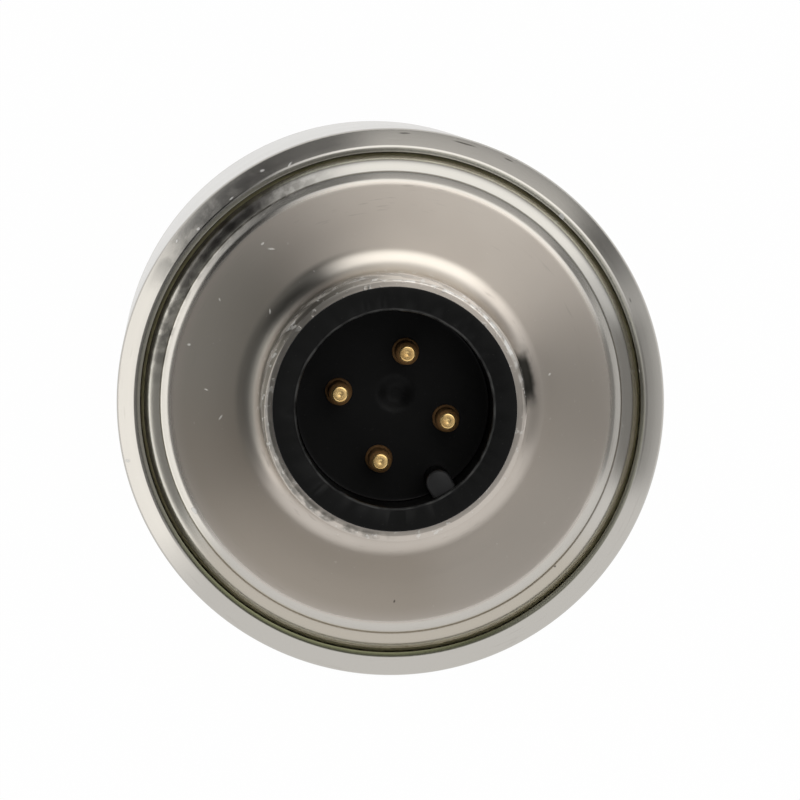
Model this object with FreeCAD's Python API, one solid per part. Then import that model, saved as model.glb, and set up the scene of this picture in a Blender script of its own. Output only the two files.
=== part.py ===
"""Screw-in pressure transmitter with a four-pole M12 plug connector.

The part stands on the end of its threaded stud. The origin is the centre of that end, and +Z runs
along the axis to the plug. Lengths are in millimetres and angles in degrees.

From the bottom up it holds a stainless steel process fitting (stud, sealing collar, hexagon, barrel),
a ceramic measuring cell clamped in the barrel, three circuit boards in an insulating sleeve, the
housing tube that is welded to the fitting, and a cap. The cap's threaded neck holds the contact
carrier with its four pins, and an O-ring seals the cap in the tube's counterbore.
"""

import FreeCAD
import Part

import math
import os

from FreeCAD import Vector

# ---------------------------------------------------------------- driving sizes
# Process fitting: a G 1/4 A stud with a profile seal ring under its collar
port_d = 5.0                    # pressure port
port_chamfer = 0.4              # at the port's mouth
stud_thread_d = 13.157          # major diameter of the stud's pipe thread
stud_length = 12.0              # stud end to the sealing face
stud_chamfer = 1.0              # lead-in of the stud's thread
stud_pitch = 1.337              # 19 turns to the inch
stud_thread_depth = 0.856
stud_neck_step = 0.88           # radial depth of the relief behind the thread
stud_neck_width = 1.6           # length of that relief below the sealing face
collar_height = 2.0
collar_wall = 1.15              # collar left outside the seal's recess
seal_width = 2.6                # radial width of the seal's recess
seal_recess_depth = 1.1
seal_ring_height = 1.5          # the ring stands proud of its recess
seal_lip = 0.35                 # bevel on the ring's sealing lip
hex_across_flats = 22.0
hex_height = 9.0
hex_corner_clip = 0.1           # corners turned down below the weld land
hex_chamfer = 30.0              # angle of the turned bevel under the hexagon
weld_collar_height = 2.0        # round land between the hexagon and the tube
barrel_length = 14.0            # part of the fitting that goes up into the tube
cell_seat_height = 2.0          # from the tube's foot up to the cell's seat
chamber_d = 8.0                 # pressure chamber under the cell
chamber_depth = 1.6

# Measuring cell and what holds it
cell_d = 18.0
diaphragm_thickness = 0.5
cell_body_height = 5.85
cell_cavity_d = 10.0            # reference cavity above the diaphragm
cell_cavity_depth = 0.2
cell_vent_d = 1.2               # joins that cavity to the inside of the housing
cell_fit = 0.1                  # radial room for the cell in its seat
cell_seal_inset = 1.8           # from the cell's edge in to its seal
cell_seal_width = 1.5           # radial width of the seal's groove
cell_seal_depth = 1.1
clamp_ring_step = 0.75          # clamp ring's radius beyond the cell's
clamp_ring_grip = 2.5           # how far the clamp ring reaches over the cell
clamp_ring_height = 3.5
clamp_ring_fit = 0.05           # radial room at the clamp ring's thread
clamp_slot_width = 2.0          # two slots for a pin wrench
clamp_slot_depth = 1.2
lead_pin_d = 0.5
lead_pin_circle_d = 8.0
lead_pin_proud = 0.7            # above the cell board

# Housing tube
tube_d = 25.0
tube_wall = 1.45
tube_length = 55.0
tube_fit = 0.05                 # radial room of the fitting's barrel in the tube
counterbore_step = 0.37         # wall taken off where the tube holds the cap
counterbore_depth = 3.75
rim_angle = 40.0                # slope of the conical rim below the horizontal
rim_edge_break = 0.1            # between the rim and the tube's side
rim_land = 0.27                 # level ring between the counterbore and the rim's slope
rim_crest_round = 0.2           # between that land and the slope

# Cap with the plug's neck
cap_height = 4.25               # shoulder to the annular face
cap_fit = 0.08                  # radial room of the cap in the counterbore
flange_gap = 0.33               # open ring between the cap's flange and the tube
flange_width = 0.57             # crowned flange, measured along the radius
flange_edge = 0.2               # height of the flange's plain edge
crown_start_tilt = 10.0         # slope of the crowned flange at its inner edge
crown_end_tilt = 40.0           # and at its outer edge
face_bevel_width = 0.625        # rounded edge and bevel between the face and the crown
face_bevel_angle = 43.0         # slope of that bevel
face_edge_round = 0.52          # rounding of the face's edge
gland_depth = 1.12              # floor of the O-ring gland to the counterbore's wall
gland_width = 1.45
skirt_fit = 0.1                 # radial room of the skirt in the tube
skirt_length = 4.0
skirt_wall = 1.75
cap_floor = 5.25                # thickness of the cap under its face
neck_thread_d = 11.9            # M12 x 1, major diameter
neck_pitch = 1.0
neck_thread_depth = 0.54
neck_length = 10.45             # face to the metal end of the neck
neck_chamfer = 0.22
neck_wall = 0.95
neck_shoulder = 0.6             # plain part of the neck between its fillet and the thread
neck_fillet = 1.08              # joins the neck to the face

# Contact carrier and pins
carrier_flange_height = 0.8
carrier_flange_inset = 0.47     # the flange is this much smaller in radius than the neck
carrier_fit = 0.05              # radial room of the carrier in the neck
cavity_wall = 0.55              # carrier left round its cavity
cavity_depth = 7.4              # carrier front to the cavity's floor
cavity_lip = 0.12               # bevel at the cavity's mouth
carrier_floor = 6.0             # thickness of the carrier behind that floor
key_width = 1.15                # coding key on the cavity wall, at -Y
key_reach = 1.1                 # how far it stands into the cavity
key_setback = 0.5               # below the carrier's front
blank_d = 1.7                   # dimple in the middle of the cavity's floor
blank_depth = 0.35
blank_shift = 0.55              # the dimple sits this far off the axis, towards the first pin
pin_circle_d = 5.0
pin_d = 1.0
pin_tip_d = 0.68
pin_tip_bevel = 0.3
pin_setback = 2.3               # carrier front to the pin tips
pin_collar_d = 1.24
pin_collar_height = 0.15        # of the collar above the cavity's floor
pin_tail_d = 0.8
pin_tail_proud = 0.9            # below the connector board
pin_fit = 0.01                  # radial room of a pin in its hole
potting_height = 1.8

# Boards, sleeve and components
board_thickness = 1.0
connector_board_room = 0.7      # radial room in the cap's skirt
connector_board_gap = 1.0       # under the cap's floor
board_fit = 0.1                 # room round a board or in its slots
main_board_width = 14.0
main_board_thickness = 1.2
tab_width = 6.0
tab_proud = 0.4                 # tab length beyond the far side of a disc board
sleeve_room = 0.15              # between the sleeve and the tube
sleeve_wall = 0.8
sleeve_ledge = 0.9              # inward reach of the ledge under the cell board
sleeve_ledge_height = 1.5
solder_spread = 0.45            # radius that a solder fillet adds to a pin tail
solder_height = 0.5

# Components, as they lie: length across the board, width up it, height off it
lead_thickness = 0.2
lead_clearance = 0.12           # under a chip's body
terminal_skin = 0.03            # thickness of a component's end caps
signal_chip_length = 5.0
signal_chip_width = 3.9
signal_chip_height = 1.4
signal_lead_pitch = 1.27
signal_lead_width = 0.42
signal_lead_reach = 1.0
output_chip_length = 6.5
output_chip_width = 3.5
output_chip_height = 1.5
output_lead_pitch = 2.3
output_lead_width = 0.7
output_lead_reach = 1.3
capacitor_length = 3.2
capacitor_width = 1.6
capacitor_height = 1.2
capacitor_offset = 4.4          # off the board's middle line
resistor_length = 2.0
resistor_width = 1.25
resistor_height = 0.5
resistor_pitch = 4.0
tantalum_length = 6.0
tantalum_width = 3.2
tantalum_height = 2.4
diode_length = 4.3
diode_width = 3.2
diode_height = 2.1
diode_offset = 3.4

seal_room = 0.01                # left between a squeezed ring and its walls
seat_room = 0.01                # left between soft solids that lie on each other

# ---------------------------------------------------------------- radii that follow
port_r = port_d / 2
stud_r = stud_thread_d / 2
stud_neck_r = stud_r - stud_neck_step
seal_recess_r = stud_neck_r + seal_width
collar_r = seal_recess_r + collar_wall
tube_r = tube_d / 2
hex_corner_r = tube_r - hex_corner_clip
tube_bore_r = tube_r - tube_wall
barrel_r = tube_bore_r - tube_fit
cell_bore_r = cell_d / 2 + cell_fit
cell_seal_outer_r = cell_d / 2 - cell_seal_inset
cell_seal_inner_r = cell_seal_outer_r - cell_seal_width
clamp_ring_r = cell_d / 2 + clamp_ring_step
clamp_bore_r = cell_d / 2 - clamp_ring_grip
counterbore_r = tube_bore_r + counterbore_step
rim_crest_r = counterbore_r + rim_land
flange_r = counterbore_r - flange_gap
flange_inner_r = flange_r - flange_width
face_r = flange_inner_r - face_bevel_width
gland_r = counterbore_r - gland_depth
skirt_r = tube_bore_r - skirt_fit
skirt_bore_r = skirt_r - skirt_wall
neck_r = neck_thread_d / 2
neck_bore_r = neck_r - neck_wall
carrier_r = neck_bore_r - carrier_fit
carrier_flange_r = neck_r - carrier_flange_inset
cavity_r = carrier_r - cavity_wall
sleeve_r = tube_bore_r - sleeve_room
sleeve_bore_r = sleeve_r - sleeve_wall
connector_board_r = skirt_bore_r - connector_board_room
cell_board_r = sleeve_bore_r - board_fit
quarter_turns = (45.0, 135.0, 225.0, 315.0)

# ---------------------------------------------------------------- derived levels
z_seal_face = stud_length
z_hex = z_seal_face + collar_height
z_hex_top = z_hex + hex_height
z_tube = z_hex_top + weld_collar_height
z_rim = z_tube + tube_length
z_shoulder = z_rim - counterbore_depth
z_face = z_shoulder + cap_height
z_neck_end = z_face + neck_length
z_front = z_neck_end + carrier_flange_height
z_cavity_floor = z_front - cavity_depth
z_carrier_back = z_cavity_floor - carrier_floor
z_cap_floor = z_face - cap_floor
z_skirt_end = z_shoulder - skirt_length
z_barrel_end = z_tube + barrel_length
z_cell = z_tube + cell_seat_height
z_cell_body = z_cell + diaphragm_thickness
z_cell_back = z_cell_body + cell_body_height
z_cell_board = z_barrel_end + sleeve_ledge_height
z_cell_board_top = z_cell_board + board_thickness
z_connector_board_top = z_cap_floor - connector_board_gap
z_connector_board = z_connector_board_top - board_thickness
main_board_height = z_connector_board - z_cell_board_top


# ---------------------------------------------------------------- outline and helpers
class Outline:
    """A closed half section in radius and height, spun about Z into a solid."""

    def __init__(self, radius, height):
        self.first = Vector(radius, 0, height)
        self.last = self.first
        self.edges = []

    def line(self, radius, height):
        """Adds a straight edge, unless it would have no length."""
        point = Vector(radius, 0, height)
        if point.distanceToPoint(self.last) > 1e-6:
            self.edges.append(Part.LineSegment(self.last, point).toShape())
            self.last = point
        return self

    def arc(self, centre_radius, centre_height, bend, start, end):
        """Adds an arc of radius bend about a centre, from angle start to angle end."""
        def at(angle):
            turn = math.radians(angle)
            return Vector(centre_radius + bend * math.cos(turn), 0,
                          centre_height + bend * math.sin(turn))
        self.line(at(start).x, at(start).z)
        self.edges.append(Part.Arc(at(start), at((start + end) / 2), at(end)).toShape())
        self.last = at(end)
        return self

    def crown(self, outer_radius, tilt_in, tilt_out):
        """Adds a convex arc outwards to outer_radius whose slope grows from tilt_in to tilt_out."""
        reach = math.sin(math.radians(tilt_out)) - math.sin(math.radians(tilt_in))
        bend = (outer_radius - self.last.x) / reach
        centre_r = self.last.x - bend * math.sin(math.radians(tilt_in))
        centre_z = self.last.z - bend * math.cos(math.radians(tilt_in))
        return self.arc(centre_r, centre_z, bend, 90 - tilt_in, 90 - tilt_out)

    def thread(self, pitch, depth, end):
        """Adds a thread's turns up or down towards end, as level V grooves centred in that length."""
        crest_r = self.last.x
        way = math.copysign(pitch, end - self.last.z)
        turns = int((end - self.last.z) / way)
        edge = (self.last.z + end - turns * way) / 2
        self.line(crest_r, edge)
        for i in range(turns):
            self.line(crest_r - depth, edge + (i + 0.5) * way)
            self.line(crest_r, edge + (i + 1) * way)

    def spin(self):
        """Closes the section and turns it through a full circle."""
        self.line(self.first.x, self.first.z)
        face = Part.Face(Part.Wire(self.edges))
        return face.revolve(Vector(0, 0, 0), Vector(0, 0, 1), 360)


def rod(radius, bottom, top, x=0.0, y=0.0):
    """A plain round rod along Z."""
    return Part.makeCylinder(radius, top - bottom, Vector(x, y, bottom))


def block(x_size, y_size, bottom, top, x=0.0, y=0.0):
    """A plain block centred on x and y."""
    corner = Vector(x - x_size / 2, y - y_size / 2, bottom)
    return Part.makeBox(x_size, y_size, top - bottom, corner)


def on_circle(circle_d, angle):
    """The x and y of a point on a pitch circle."""
    turn = math.radians(angle)
    return circle_d / 2 * math.cos(turn), circle_d / 2 * math.sin(turn)


# ---------------------------------------------------------------- process fitting and seal
def hexagon_waste():
    """What the six milled flats take away from the round bar."""
    corner_r = hex_across_flats / math.sqrt(3)
    corners = [Vector(corner_r * math.cos(math.radians(60 * i)),
                      corner_r * math.sin(math.radians(60 * i)), z_hex) for i in range(7)]
    prism = Part.Face(Part.makePolygon(corners)).extrude(Vector(0, 0, hex_height))
    return rod(tube_d, z_hex, z_hex_top).cut(prism.common(rod(hex_corner_r, z_hex, z_hex_top)))


def process_fitting():
    """Stud, collar, hexagon, weld land and barrel, turned and milled from one bar."""
    neck_start = z_seal_face - stud_neck_width
    recess_top = z_seal_face + seal_recess_depth
    hex_face_r = (collar_r + hex_across_flats / 2) / 2
    bevel_rise = (hex_corner_r - hex_face_r) * math.tan(math.radians(hex_chamfer))
    ring_bore_r = clamp_ring_r + clamp_ring_fit
    bar = Outline(port_r + port_chamfer, 0)
    bar.line(stud_r - stud_chamfer, 0)
    bar.line(stud_r, stud_chamfer)
    bar.thread(stud_pitch, stud_thread_depth, neck_start - stud_neck_step)
    bar.line(stud_r, neck_start - stud_neck_step)
    bar.line(stud_neck_r, neck_start)
    bar.line(stud_neck_r, recess_top)
    bar.line(seal_recess_r, recess_top)
    bar.line(seal_recess_r, z_seal_face)
    bar.line(collar_r, z_seal_face)
    bar.line(collar_r, z_hex)
    bar.line(hex_face_r, z_hex)
    bar.line(hex_corner_r, z_hex + bevel_rise)
    bar.line(hex_corner_r, z_hex_top)
    bar.line(tube_r, z_hex_top)
    bar.line(tube_r, z_tube)
    bar.line(barrel_r, z_tube)
    bar.line(barrel_r, z_barrel_end)
    bar.line(ring_bore_r, z_barrel_end)
    bar.line(ring_bore_r, z_cell_back)
    bar.line(cell_bore_r, z_cell_back)
    bar.line(cell_bore_r, z_cell)
    bar.line(chamber_d / 2, z_cell)
    bar.line(chamber_d / 2, z_cell - chamber_depth)
    bar.line(port_r, z_cell - chamber_depth)
    bar.line(port_r, port_chamfer)
    groove = rod(cell_seal_outer_r, z_cell - cell_seal_depth, z_cell)
    groove = groove.cut(rod(cell_seal_inner_r, z_cell - cell_seal_depth, z_cell))
    return bar.spin().cut(hexagon_waste()).cut(groove)


def process_seal_ring():
    """Elastomer profile ring in the collar's recess, with a bevelled sealing lip."""
    inner = stud_neck_r + seat_room
    outer = seal_recess_r - seat_room
    top = z_seal_face + seal_recess_depth - seat_room
    bottom = top - seal_ring_height
    ring = Outline(inner, bottom)
    ring.line(outer - seal_lip, bottom)
    ring.line(outer, bottom + seal_lip)
    ring.line(outer, top)
    ring.line(inner, top)
    return ring.spin()


# ---------------------------------------------------------------- measuring cell
def cell_seal():
    """Flat-sided elastomer ring in the seat's groove, under the rim of the cell."""
    bottom = z_cell - cell_seal_depth + seal_room
    top = z_cell - seal_room
    ring = rod(cell_seal_outer_r - seal_room, bottom, top)
    return ring.cut(rod(cell_seal_inner_r + seal_room, bottom, top))


def cell_diaphragm():
    """Thin ceramic disc that the pressure bends."""
    return rod(cell_d / 2, z_cell, z_cell_body)


def cell_body():
    """Thick ceramic disc behind the diaphragm, with its cavity and vent."""
    disc = rod(cell_d / 2, z_cell_body, z_cell_back)
    disc = disc.cut(rod(cell_cavity_d / 2, z_cell_body, z_cell_body + cell_cavity_depth))
    return disc.cut(rod(cell_vent_d / 2, z_cell_body, z_cell_back))


def cell_clamp_ring():
    """Threaded ring that presses the cell on its O-ring, slotted for a wrench."""
    top = z_cell_back + clamp_ring_height
    ring = rod(clamp_ring_r, z_cell_back, top).cut(rod(clamp_bore_r, z_cell_back, top))
    slot = block(4 * clamp_ring_r, clamp_slot_width, top - clamp_slot_depth, top)
    return ring.cut(slot)


def cell_lead_pins():
    """Four wires that stand on the cell's back and join its bridge to the cell board."""
    top = z_cell_board_top + lead_pin_proud
    pins = []
    for angle in quarter_turns:
        x, y = on_circle(lead_pin_circle_d, angle)
        pins.append(rod(lead_pin_d / 2, z_cell_back, top, x, y))
    return Part.makeCompound(pins)


# ---------------------------------------------------------------- housing, cap and its seal
def housing_tube():
    """Round tube with a conical rim and the counterbore that takes the cap."""
    slope = math.tan(math.radians(rim_angle))
    rim_foot = z_rim - (tube_r - rim_crest_r) * slope
    crest_r = rim_crest_r - rim_crest_round * math.tan(math.radians(rim_angle / 2))
    tube = Outline(tube_bore_r, z_tube)
    tube.line(tube_r, z_tube)
    tube.line(tube_r, rim_foot - rim_edge_break)
    tube.line(tube_r - rim_edge_break, rim_foot + rim_edge_break * slope)
    tube.arc(crest_r, z_rim - rim_crest_round, rim_crest_round, 90 - rim_angle, 90)
    tube.line(counterbore_r, z_rim)
    tube.line(counterbore_r, z_shoulder)
    tube.line(tube_bore_r, z_shoulder)
    return tube.spin()


def connector_cap():
    """Turned cap: skirt, O-ring gland, crowned flange, raised face and the threaded neck."""
    seat_r = counterbore_r - cap_fit
    bevel_slope = math.tan(math.radians(face_bevel_angle))
    cap = Outline(neck_bore_r, z_cap_floor)
    cap.line(neck_bore_r, z_neck_end)
    cap.line(neck_r - neck_chamfer, z_neck_end)
    cap.line(neck_r, z_neck_end - neck_chamfer)
    cap.thread(neck_pitch, neck_thread_depth, z_face + neck_fillet + neck_shoulder)
    cap.arc(neck_r + neck_fillet, z_face + neck_fillet, neck_fillet, 180, 270)
    cap.line(face_r, z_face)
    cap.crown(face_r + face_edge_round * math.sin(math.radians(face_bevel_angle)), 0, face_bevel_angle)
    cap.line(flange_inner_r, cap.last.z - (flange_inner_r - cap.last.x) * bevel_slope)
    cap.crown(flange_r, crown_start_tilt, crown_end_tilt)
    gland_top = cap.last.z - flange_edge
    cap.line(flange_r, gland_top)
    cap.line(gland_r, gland_top)
    cap.line(gland_r, gland_top - gland_width)
    cap.line(seat_r, gland_top - gland_width)
    cap.line(seat_r, z_shoulder)
    cap.line(skirt_r, z_shoulder)
    cap.line(skirt_r, z_skirt_end)
    cap.line(skirt_bore_r, z_skirt_end)
    cap.line(skirt_bore_r, z_cap_floor)
    return cap.spin(), gland_top


def cap_o_ring(gland_top):
    """O-ring squeezed eight-sided between the cap's gland and the counterbore, high in its gland."""
    half = gland_depth / 2 - seal_room
    flat = half * math.tan(math.radians(22.5))
    middle_r = (gland_r + counterbore_r) / 2
    middle_z = gland_top - gland_depth / 2
    ring = Outline(middle_r - flat, middle_z - half)
    for across, up in ((flat, -half), (half, -flat), (half, flat), (flat, half),
                       (-flat, half), (-half, flat), (-half, -flat)):
        ring.line(middle_r + across, middle_z + up)
    return ring.spin()


# ---------------------------------------------------------------- plug insert
def contact_carrier():
    """Moulded insert: front flange, open cavity with its coding key, and a bored floor."""
    body = Outline(0, z_carrier_back)
    body.line(carrier_r, z_carrier_back)
    body.line(carrier_r, z_neck_end)
    body.line(carrier_flange_r, z_neck_end)
    body.line(carrier_flange_r, z_front)
    body.line(cavity_r + cavity_lip, z_front)
    body.line(cavity_r, z_front - cavity_lip)
    body.line(cavity_r, z_cavity_floor)
    body.line(0, z_cavity_floor)
    insert = body.spin().fuse(coding_key())
    x, y = on_circle(2 * blank_shift, quarter_turns[0])
    insert = insert.cut(rod(blank_d / 2, z_cavity_floor - blank_depth, z_cavity_floor, x, y))
    for angle in quarter_turns:
        x, y = on_circle(pin_circle_d, angle)
        insert = insert.cut(rod(pin_collar_d / 2 + pin_fit, z_carrier_back, z_cavity_floor, x, y))
    return insert.removeSplitter()


def coding_key():
    """Round-nosed rib that stands into the cavity at -Y, from its floor nearly to its mouth."""
    top = z_front - key_setback
    nose_y = -(cavity_r - key_reach + key_width / 2)
    root_y = -(cavity_r + carrier_r) / 2
    nose = rod(key_width / 2, z_cavity_floor, top, 0, nose_y)
    web = block(key_width, nose_y - root_y, z_cavity_floor, top, 0, (nose_y + root_y) / 2)
    return nose.fuse(web)


def contact_pin(angle):
    """Turned pin: bevelled tip, shaft, collar in the carrier's floor and a solder tail."""
    shaft_r = pin_d / 2
    collar_r = pin_collar_d / 2
    tip = z_front - pin_setback
    pin = Outline(0, z_connector_board - pin_tail_proud)
    pin.line(pin_tail_d / 2, z_connector_board - pin_tail_proud)
    pin.line(pin_tail_d / 2, z_carrier_back)
    pin.line(collar_r, z_carrier_back)
    pin.line(collar_r, z_cavity_floor + pin_collar_height)
    pin.line(shaft_r, z_cavity_floor + pin_collar_height)
    pin.line(shaft_r, tip - pin_tip_bevel)
    pin.line(pin_tip_d / 2, tip)
    pin.line(0, tip)
    shape = pin.spin()
    x, y = on_circle(pin_circle_d, angle)
    shape.translate(Vector(x, y, 0))
    return shape


def carrier_potting():
    """Resin poured behind the carrier, round the pins' tails."""
    top = z_carrier_back - seat_room
    plug = rod(neck_bore_r - seat_room, top - potting_height, top)
    for angle in quarter_turns:
        x, y = on_circle(pin_circle_d, angle)
        plug = plug.cut(rod(pin_tail_d / 2 + pin_fit, top - potting_height, top, x, y))
    return plug


# ---------------------------------------------------------------- boards and sleeve
def disc_board(radius, bottom, holes_circle_d, wire_d):
    """Round board with four holes for wires of wire_d and a slot for the main board's tab."""
    top = bottom + board_thickness
    board = rod(radius, bottom, top)
    for angle in quarter_turns:
        x, y = on_circle(holes_circle_d, angle)
        board = board.cut(rod(wire_d / 2 + board_fit, bottom, top, x, y))
    slot_length = tab_width + 2 * board_fit
    slot_width = main_board_thickness + 2 * board_fit
    return board.cut(block(slot_length, slot_width, bottom, top))


def connector_board():
    """Board that the connector pins' tails are soldered into."""
    return disc_board(connector_board_r, z_connector_board, pin_circle_d, pin_tail_d)


def cell_board():
    """Board above the measuring cell, on the sleeve's ledge."""
    return disc_board(cell_board_r, z_cell_board, lead_pin_circle_d, lead_pin_d)


def main_board():
    """Upright board between the two discs, with a tab into each."""
    plate = block(main_board_width, main_board_thickness, z_cell_board_top, z_connector_board)
    reach = board_thickness + tab_proud
    tabs = block(tab_width, main_board_thickness, z_cell_board_top - reach, z_connector_board + reach)
    return plate.fuse(tabs).removeSplitter()


def insulating_sleeve():
    """Plastic sleeve between the boards and the tube, with a ledge for the cell board."""
    ledge_r = sleeve_bore_r - sleeve_ledge
    sleeve = Outline(ledge_r, z_barrel_end)
    sleeve.line(sleeve_r, z_barrel_end)
    sleeve.line(sleeve_r, z_skirt_end)
    sleeve.line(sleeve_bore_r, z_skirt_end)
    sleeve.line(sleeve_bore_r, z_cell_board)
    sleeve.line(ledge_r, z_cell_board)
    return sleeve.spin()


def pin_solder():
    """Solder fillets that hold the pins' tails under the connector board."""
    hole_r = pin_tail_d / 2 + seat_room
    joints = []
    for angle in quarter_turns:
        x, y = on_circle(pin_circle_d, angle)
        joint = Outline(hole_r, z_connector_board - solder_height)
        joint.line(hole_r + solder_spread, z_connector_board)
        joint.line(hole_r, z_connector_board)
        shape = joint.spin()
        shape.translate(Vector(x, y, 0))
        joints.append(shape)
    return Part.makeCompound(joints)


# ---------------------------------------------------------------- components on the main board
def on_board(shape, side, height):
    """Stands a component, drawn face up at the origin, on a side (+1 or -1) of the main board."""
    shape.rotate(Vector(0, 0, 0), Vector(1, 0, 0), -90 * side)
    level = z_cell_board_top + height * main_board_height
    shape.translate(Vector(0, side * main_board_thickness / 2, level))
    return shape


def gull_wing(x, edge, way, middle, lead_width, reach):
    """One bent lead that leaves a chip's side at y = edge and ends in a flat foot on the board."""
    half = lead_thickness / 2
    inside = edge - way * lead_thickness
    knee = edge + way * reach / 2
    toe = edge + way * reach
    outline = [(inside, middle + half), (knee, middle + half), (knee + way * lead_thickness, lead_thickness),
               (toe, lead_thickness), (toe, 0), (knee, 0), (knee - way * lead_thickness, middle - half),
               (inside, middle - half), (inside, middle + half)]
    start = x - lead_width / 2
    face = Part.Face(Part.makePolygon([Vector(start, y, z) for y, z in outline]))
    return face.extrude(Vector(lead_width, 0, 0))


def leaded_chip(length, width, height, leads, pitch, lead_width, reach):
    """Moulded chip with gull-wing leads along its two long sides, as one solid."""
    top = lead_clearance + height
    body = block(length, width, lead_clearance, top)
    upper = [e for e in body.Edges if min(v.Z for v in e.Vertexes) > lead_clearance]
    body = body.makeChamfer(0.18 * height, upper)
    middle = (lead_clearance + top) / 2
    for i in range(leads):
        x = (i - (leads - 1) / 2) * pitch
        for way in (-1, 1):
            body = body.fuse(gull_wing(x, way * width / 2, way, middle, lead_width, reach))
    return body.removeSplitter()


def signal_chip():
    """Converter that reads the cell's bridge."""
    chip = leaded_chip(signal_chip_length, signal_chip_width, signal_chip_height, 4,
                       signal_lead_pitch, signal_lead_width, signal_lead_reach)
    return on_board(chip, 1, 0.24)


def output_chip():
    """Driver of the current loop."""
    chip = leaded_chip(output_chip_length, output_chip_width, output_chip_height, 3,
                       output_lead_pitch, output_lead_width, output_lead_reach)
    return on_board(chip, -1, 0.3)


def capped_blocks(length, width, height, places, side):
    """Chip components with thickened end caps at places of x and share of the board's height."""
    cap_length = 0.22 * length
    blocks = []
    for x, level in places:
        part = block(length, width, terminal_skin, terminal_skin + height)
        for way in (-1, 1):
            end_x = way * (length - cap_length) / 2
            cap = block(cap_length, width + 2 * terminal_skin, 0, height + 2 * terminal_skin, end_x)
            part = part.fuse(cap)
        part.translate(Vector(x, 0, 0))
        blocks.append(on_board(part, side, level))
    return Part.makeCompound(blocks)


def ceramic_capacitors():
    """Four supply and filter capacitors."""
    places = [(way * capacitor_offset, level) for way in (-1, 1) for level in (0.56, 0.66)]
    return capped_blocks(capacitor_length, capacitor_width, capacitor_height, places, 1)


def chip_resistors():
    """Six trimming and load resistors."""
    places = [(way * resistor_pitch, level) for way in (-1, 0, 1) for level in (0.58, 0.68)]
    return capped_blocks(resistor_length, resistor_width, resistor_height, places, -1)


def tantalum_capacitor():
    """Buffer capacitor of the supply."""
    return capped_blocks(tantalum_length, tantalum_width, tantalum_height, [(0, 0.84)], 1)


def surge_diodes():
    """Two clamps against overvoltage on the plug's lines."""
    places = [(-diode_offset, 0.86), (diode_offset, 0.86)]
    return capped_blocks(diode_length, diode_width, diode_height, places, -1)


# ---------------------------------------------------------------- whole part
def build():
    """All sub-parts by name."""
    cap, gland_top = connector_cap()
    parts = {
        "process_fitting": process_fitting(),
        "process_seal_ring": process_seal_ring(),
        "cell_seal": cell_seal(),
        "cell_diaphragm": cell_diaphragm(),
        "cell_body": cell_body(),
        "cell_clamp_ring": cell_clamp_ring(),
        "cell_lead_pins": cell_lead_pins(),
        "housing_tube": housing_tube(),
        "connector_cap": cap,
        "cap_o_ring": cap_o_ring(gland_top),
        "contact_carrier": contact_carrier(),
        "carrier_potting": carrier_potting(),
        "connector_board": connector_board(),
        "cell_board": cell_board(),
        "main_board": main_board(),
        "insulating_sleeve": insulating_sleeve(),
        "pin_solder": pin_solder(),
        "signal_chip": signal_chip(),
        "output_chip": output_chip(),
        "ceramic_capacitors": ceramic_capacitors(),
        "chip_resistors": chip_resistors(),
        "tantalum_capacitor": tantalum_capacitor(),
        "surge_diodes": surge_diodes(),
    }
    for number, angle in enumerate(quarter_turns, 1):
        parts[f"contact_pin_{number}"] = contact_pin(angle)
    return parts


def main():
    """Writes one STEP file for each sub-part."""
    os.makedirs("parts", exist_ok=True)
    for name, shape in build().items():
        shape.exportStep(f"parts/{name}.step")
        print(name, shape.isValid(), len(shape.Solids), round(shape.Volume, 3))


main()
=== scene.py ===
"""Dresses a screw-in pressure transmitter with a four-pole M12 plug.

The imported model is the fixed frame. Turned steel pieces, the plug's insert, its pins and the seals are
rebuilt here as fine surfaces with real threads, softened edges and tool marks, and the pieces that
stay inside the housing keep their shape and get a finish. Sizes are in millimetres and are scaled to
metres when a mesh is made. The depth of a bump is in metres, and a noise's scale is lumps to a metre.
"""

import logging
import math
from dataclasses import dataclass, field
from enum import Enum
from functools import cached_property
from typing import Any, Callable, Mapping, Sequence, Union

import bpy
import numpy as np
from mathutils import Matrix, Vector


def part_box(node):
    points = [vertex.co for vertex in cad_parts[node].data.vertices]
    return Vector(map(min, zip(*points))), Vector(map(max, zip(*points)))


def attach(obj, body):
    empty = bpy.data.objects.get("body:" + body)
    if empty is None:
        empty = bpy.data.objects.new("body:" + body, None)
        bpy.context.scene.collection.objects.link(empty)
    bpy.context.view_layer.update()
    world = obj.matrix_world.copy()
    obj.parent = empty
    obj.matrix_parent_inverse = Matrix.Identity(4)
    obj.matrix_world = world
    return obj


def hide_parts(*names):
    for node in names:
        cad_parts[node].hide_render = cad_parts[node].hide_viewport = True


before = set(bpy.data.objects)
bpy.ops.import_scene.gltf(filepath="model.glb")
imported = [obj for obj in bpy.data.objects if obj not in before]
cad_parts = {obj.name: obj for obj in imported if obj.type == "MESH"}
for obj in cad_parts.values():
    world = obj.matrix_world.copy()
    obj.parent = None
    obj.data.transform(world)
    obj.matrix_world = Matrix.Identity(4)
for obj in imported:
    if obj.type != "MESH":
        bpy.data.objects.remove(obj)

LOG = logging.getLogger("transmitter")
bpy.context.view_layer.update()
MM = 0.001
PER_METRE = 1000.0
TAU = 2.0 * math.pi
ALL_ROUND = 180.0
Colour = tuple[float, float, float]
Grid = np.ndarray
WHITE = (1.0, 1.0, 1.0)


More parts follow.
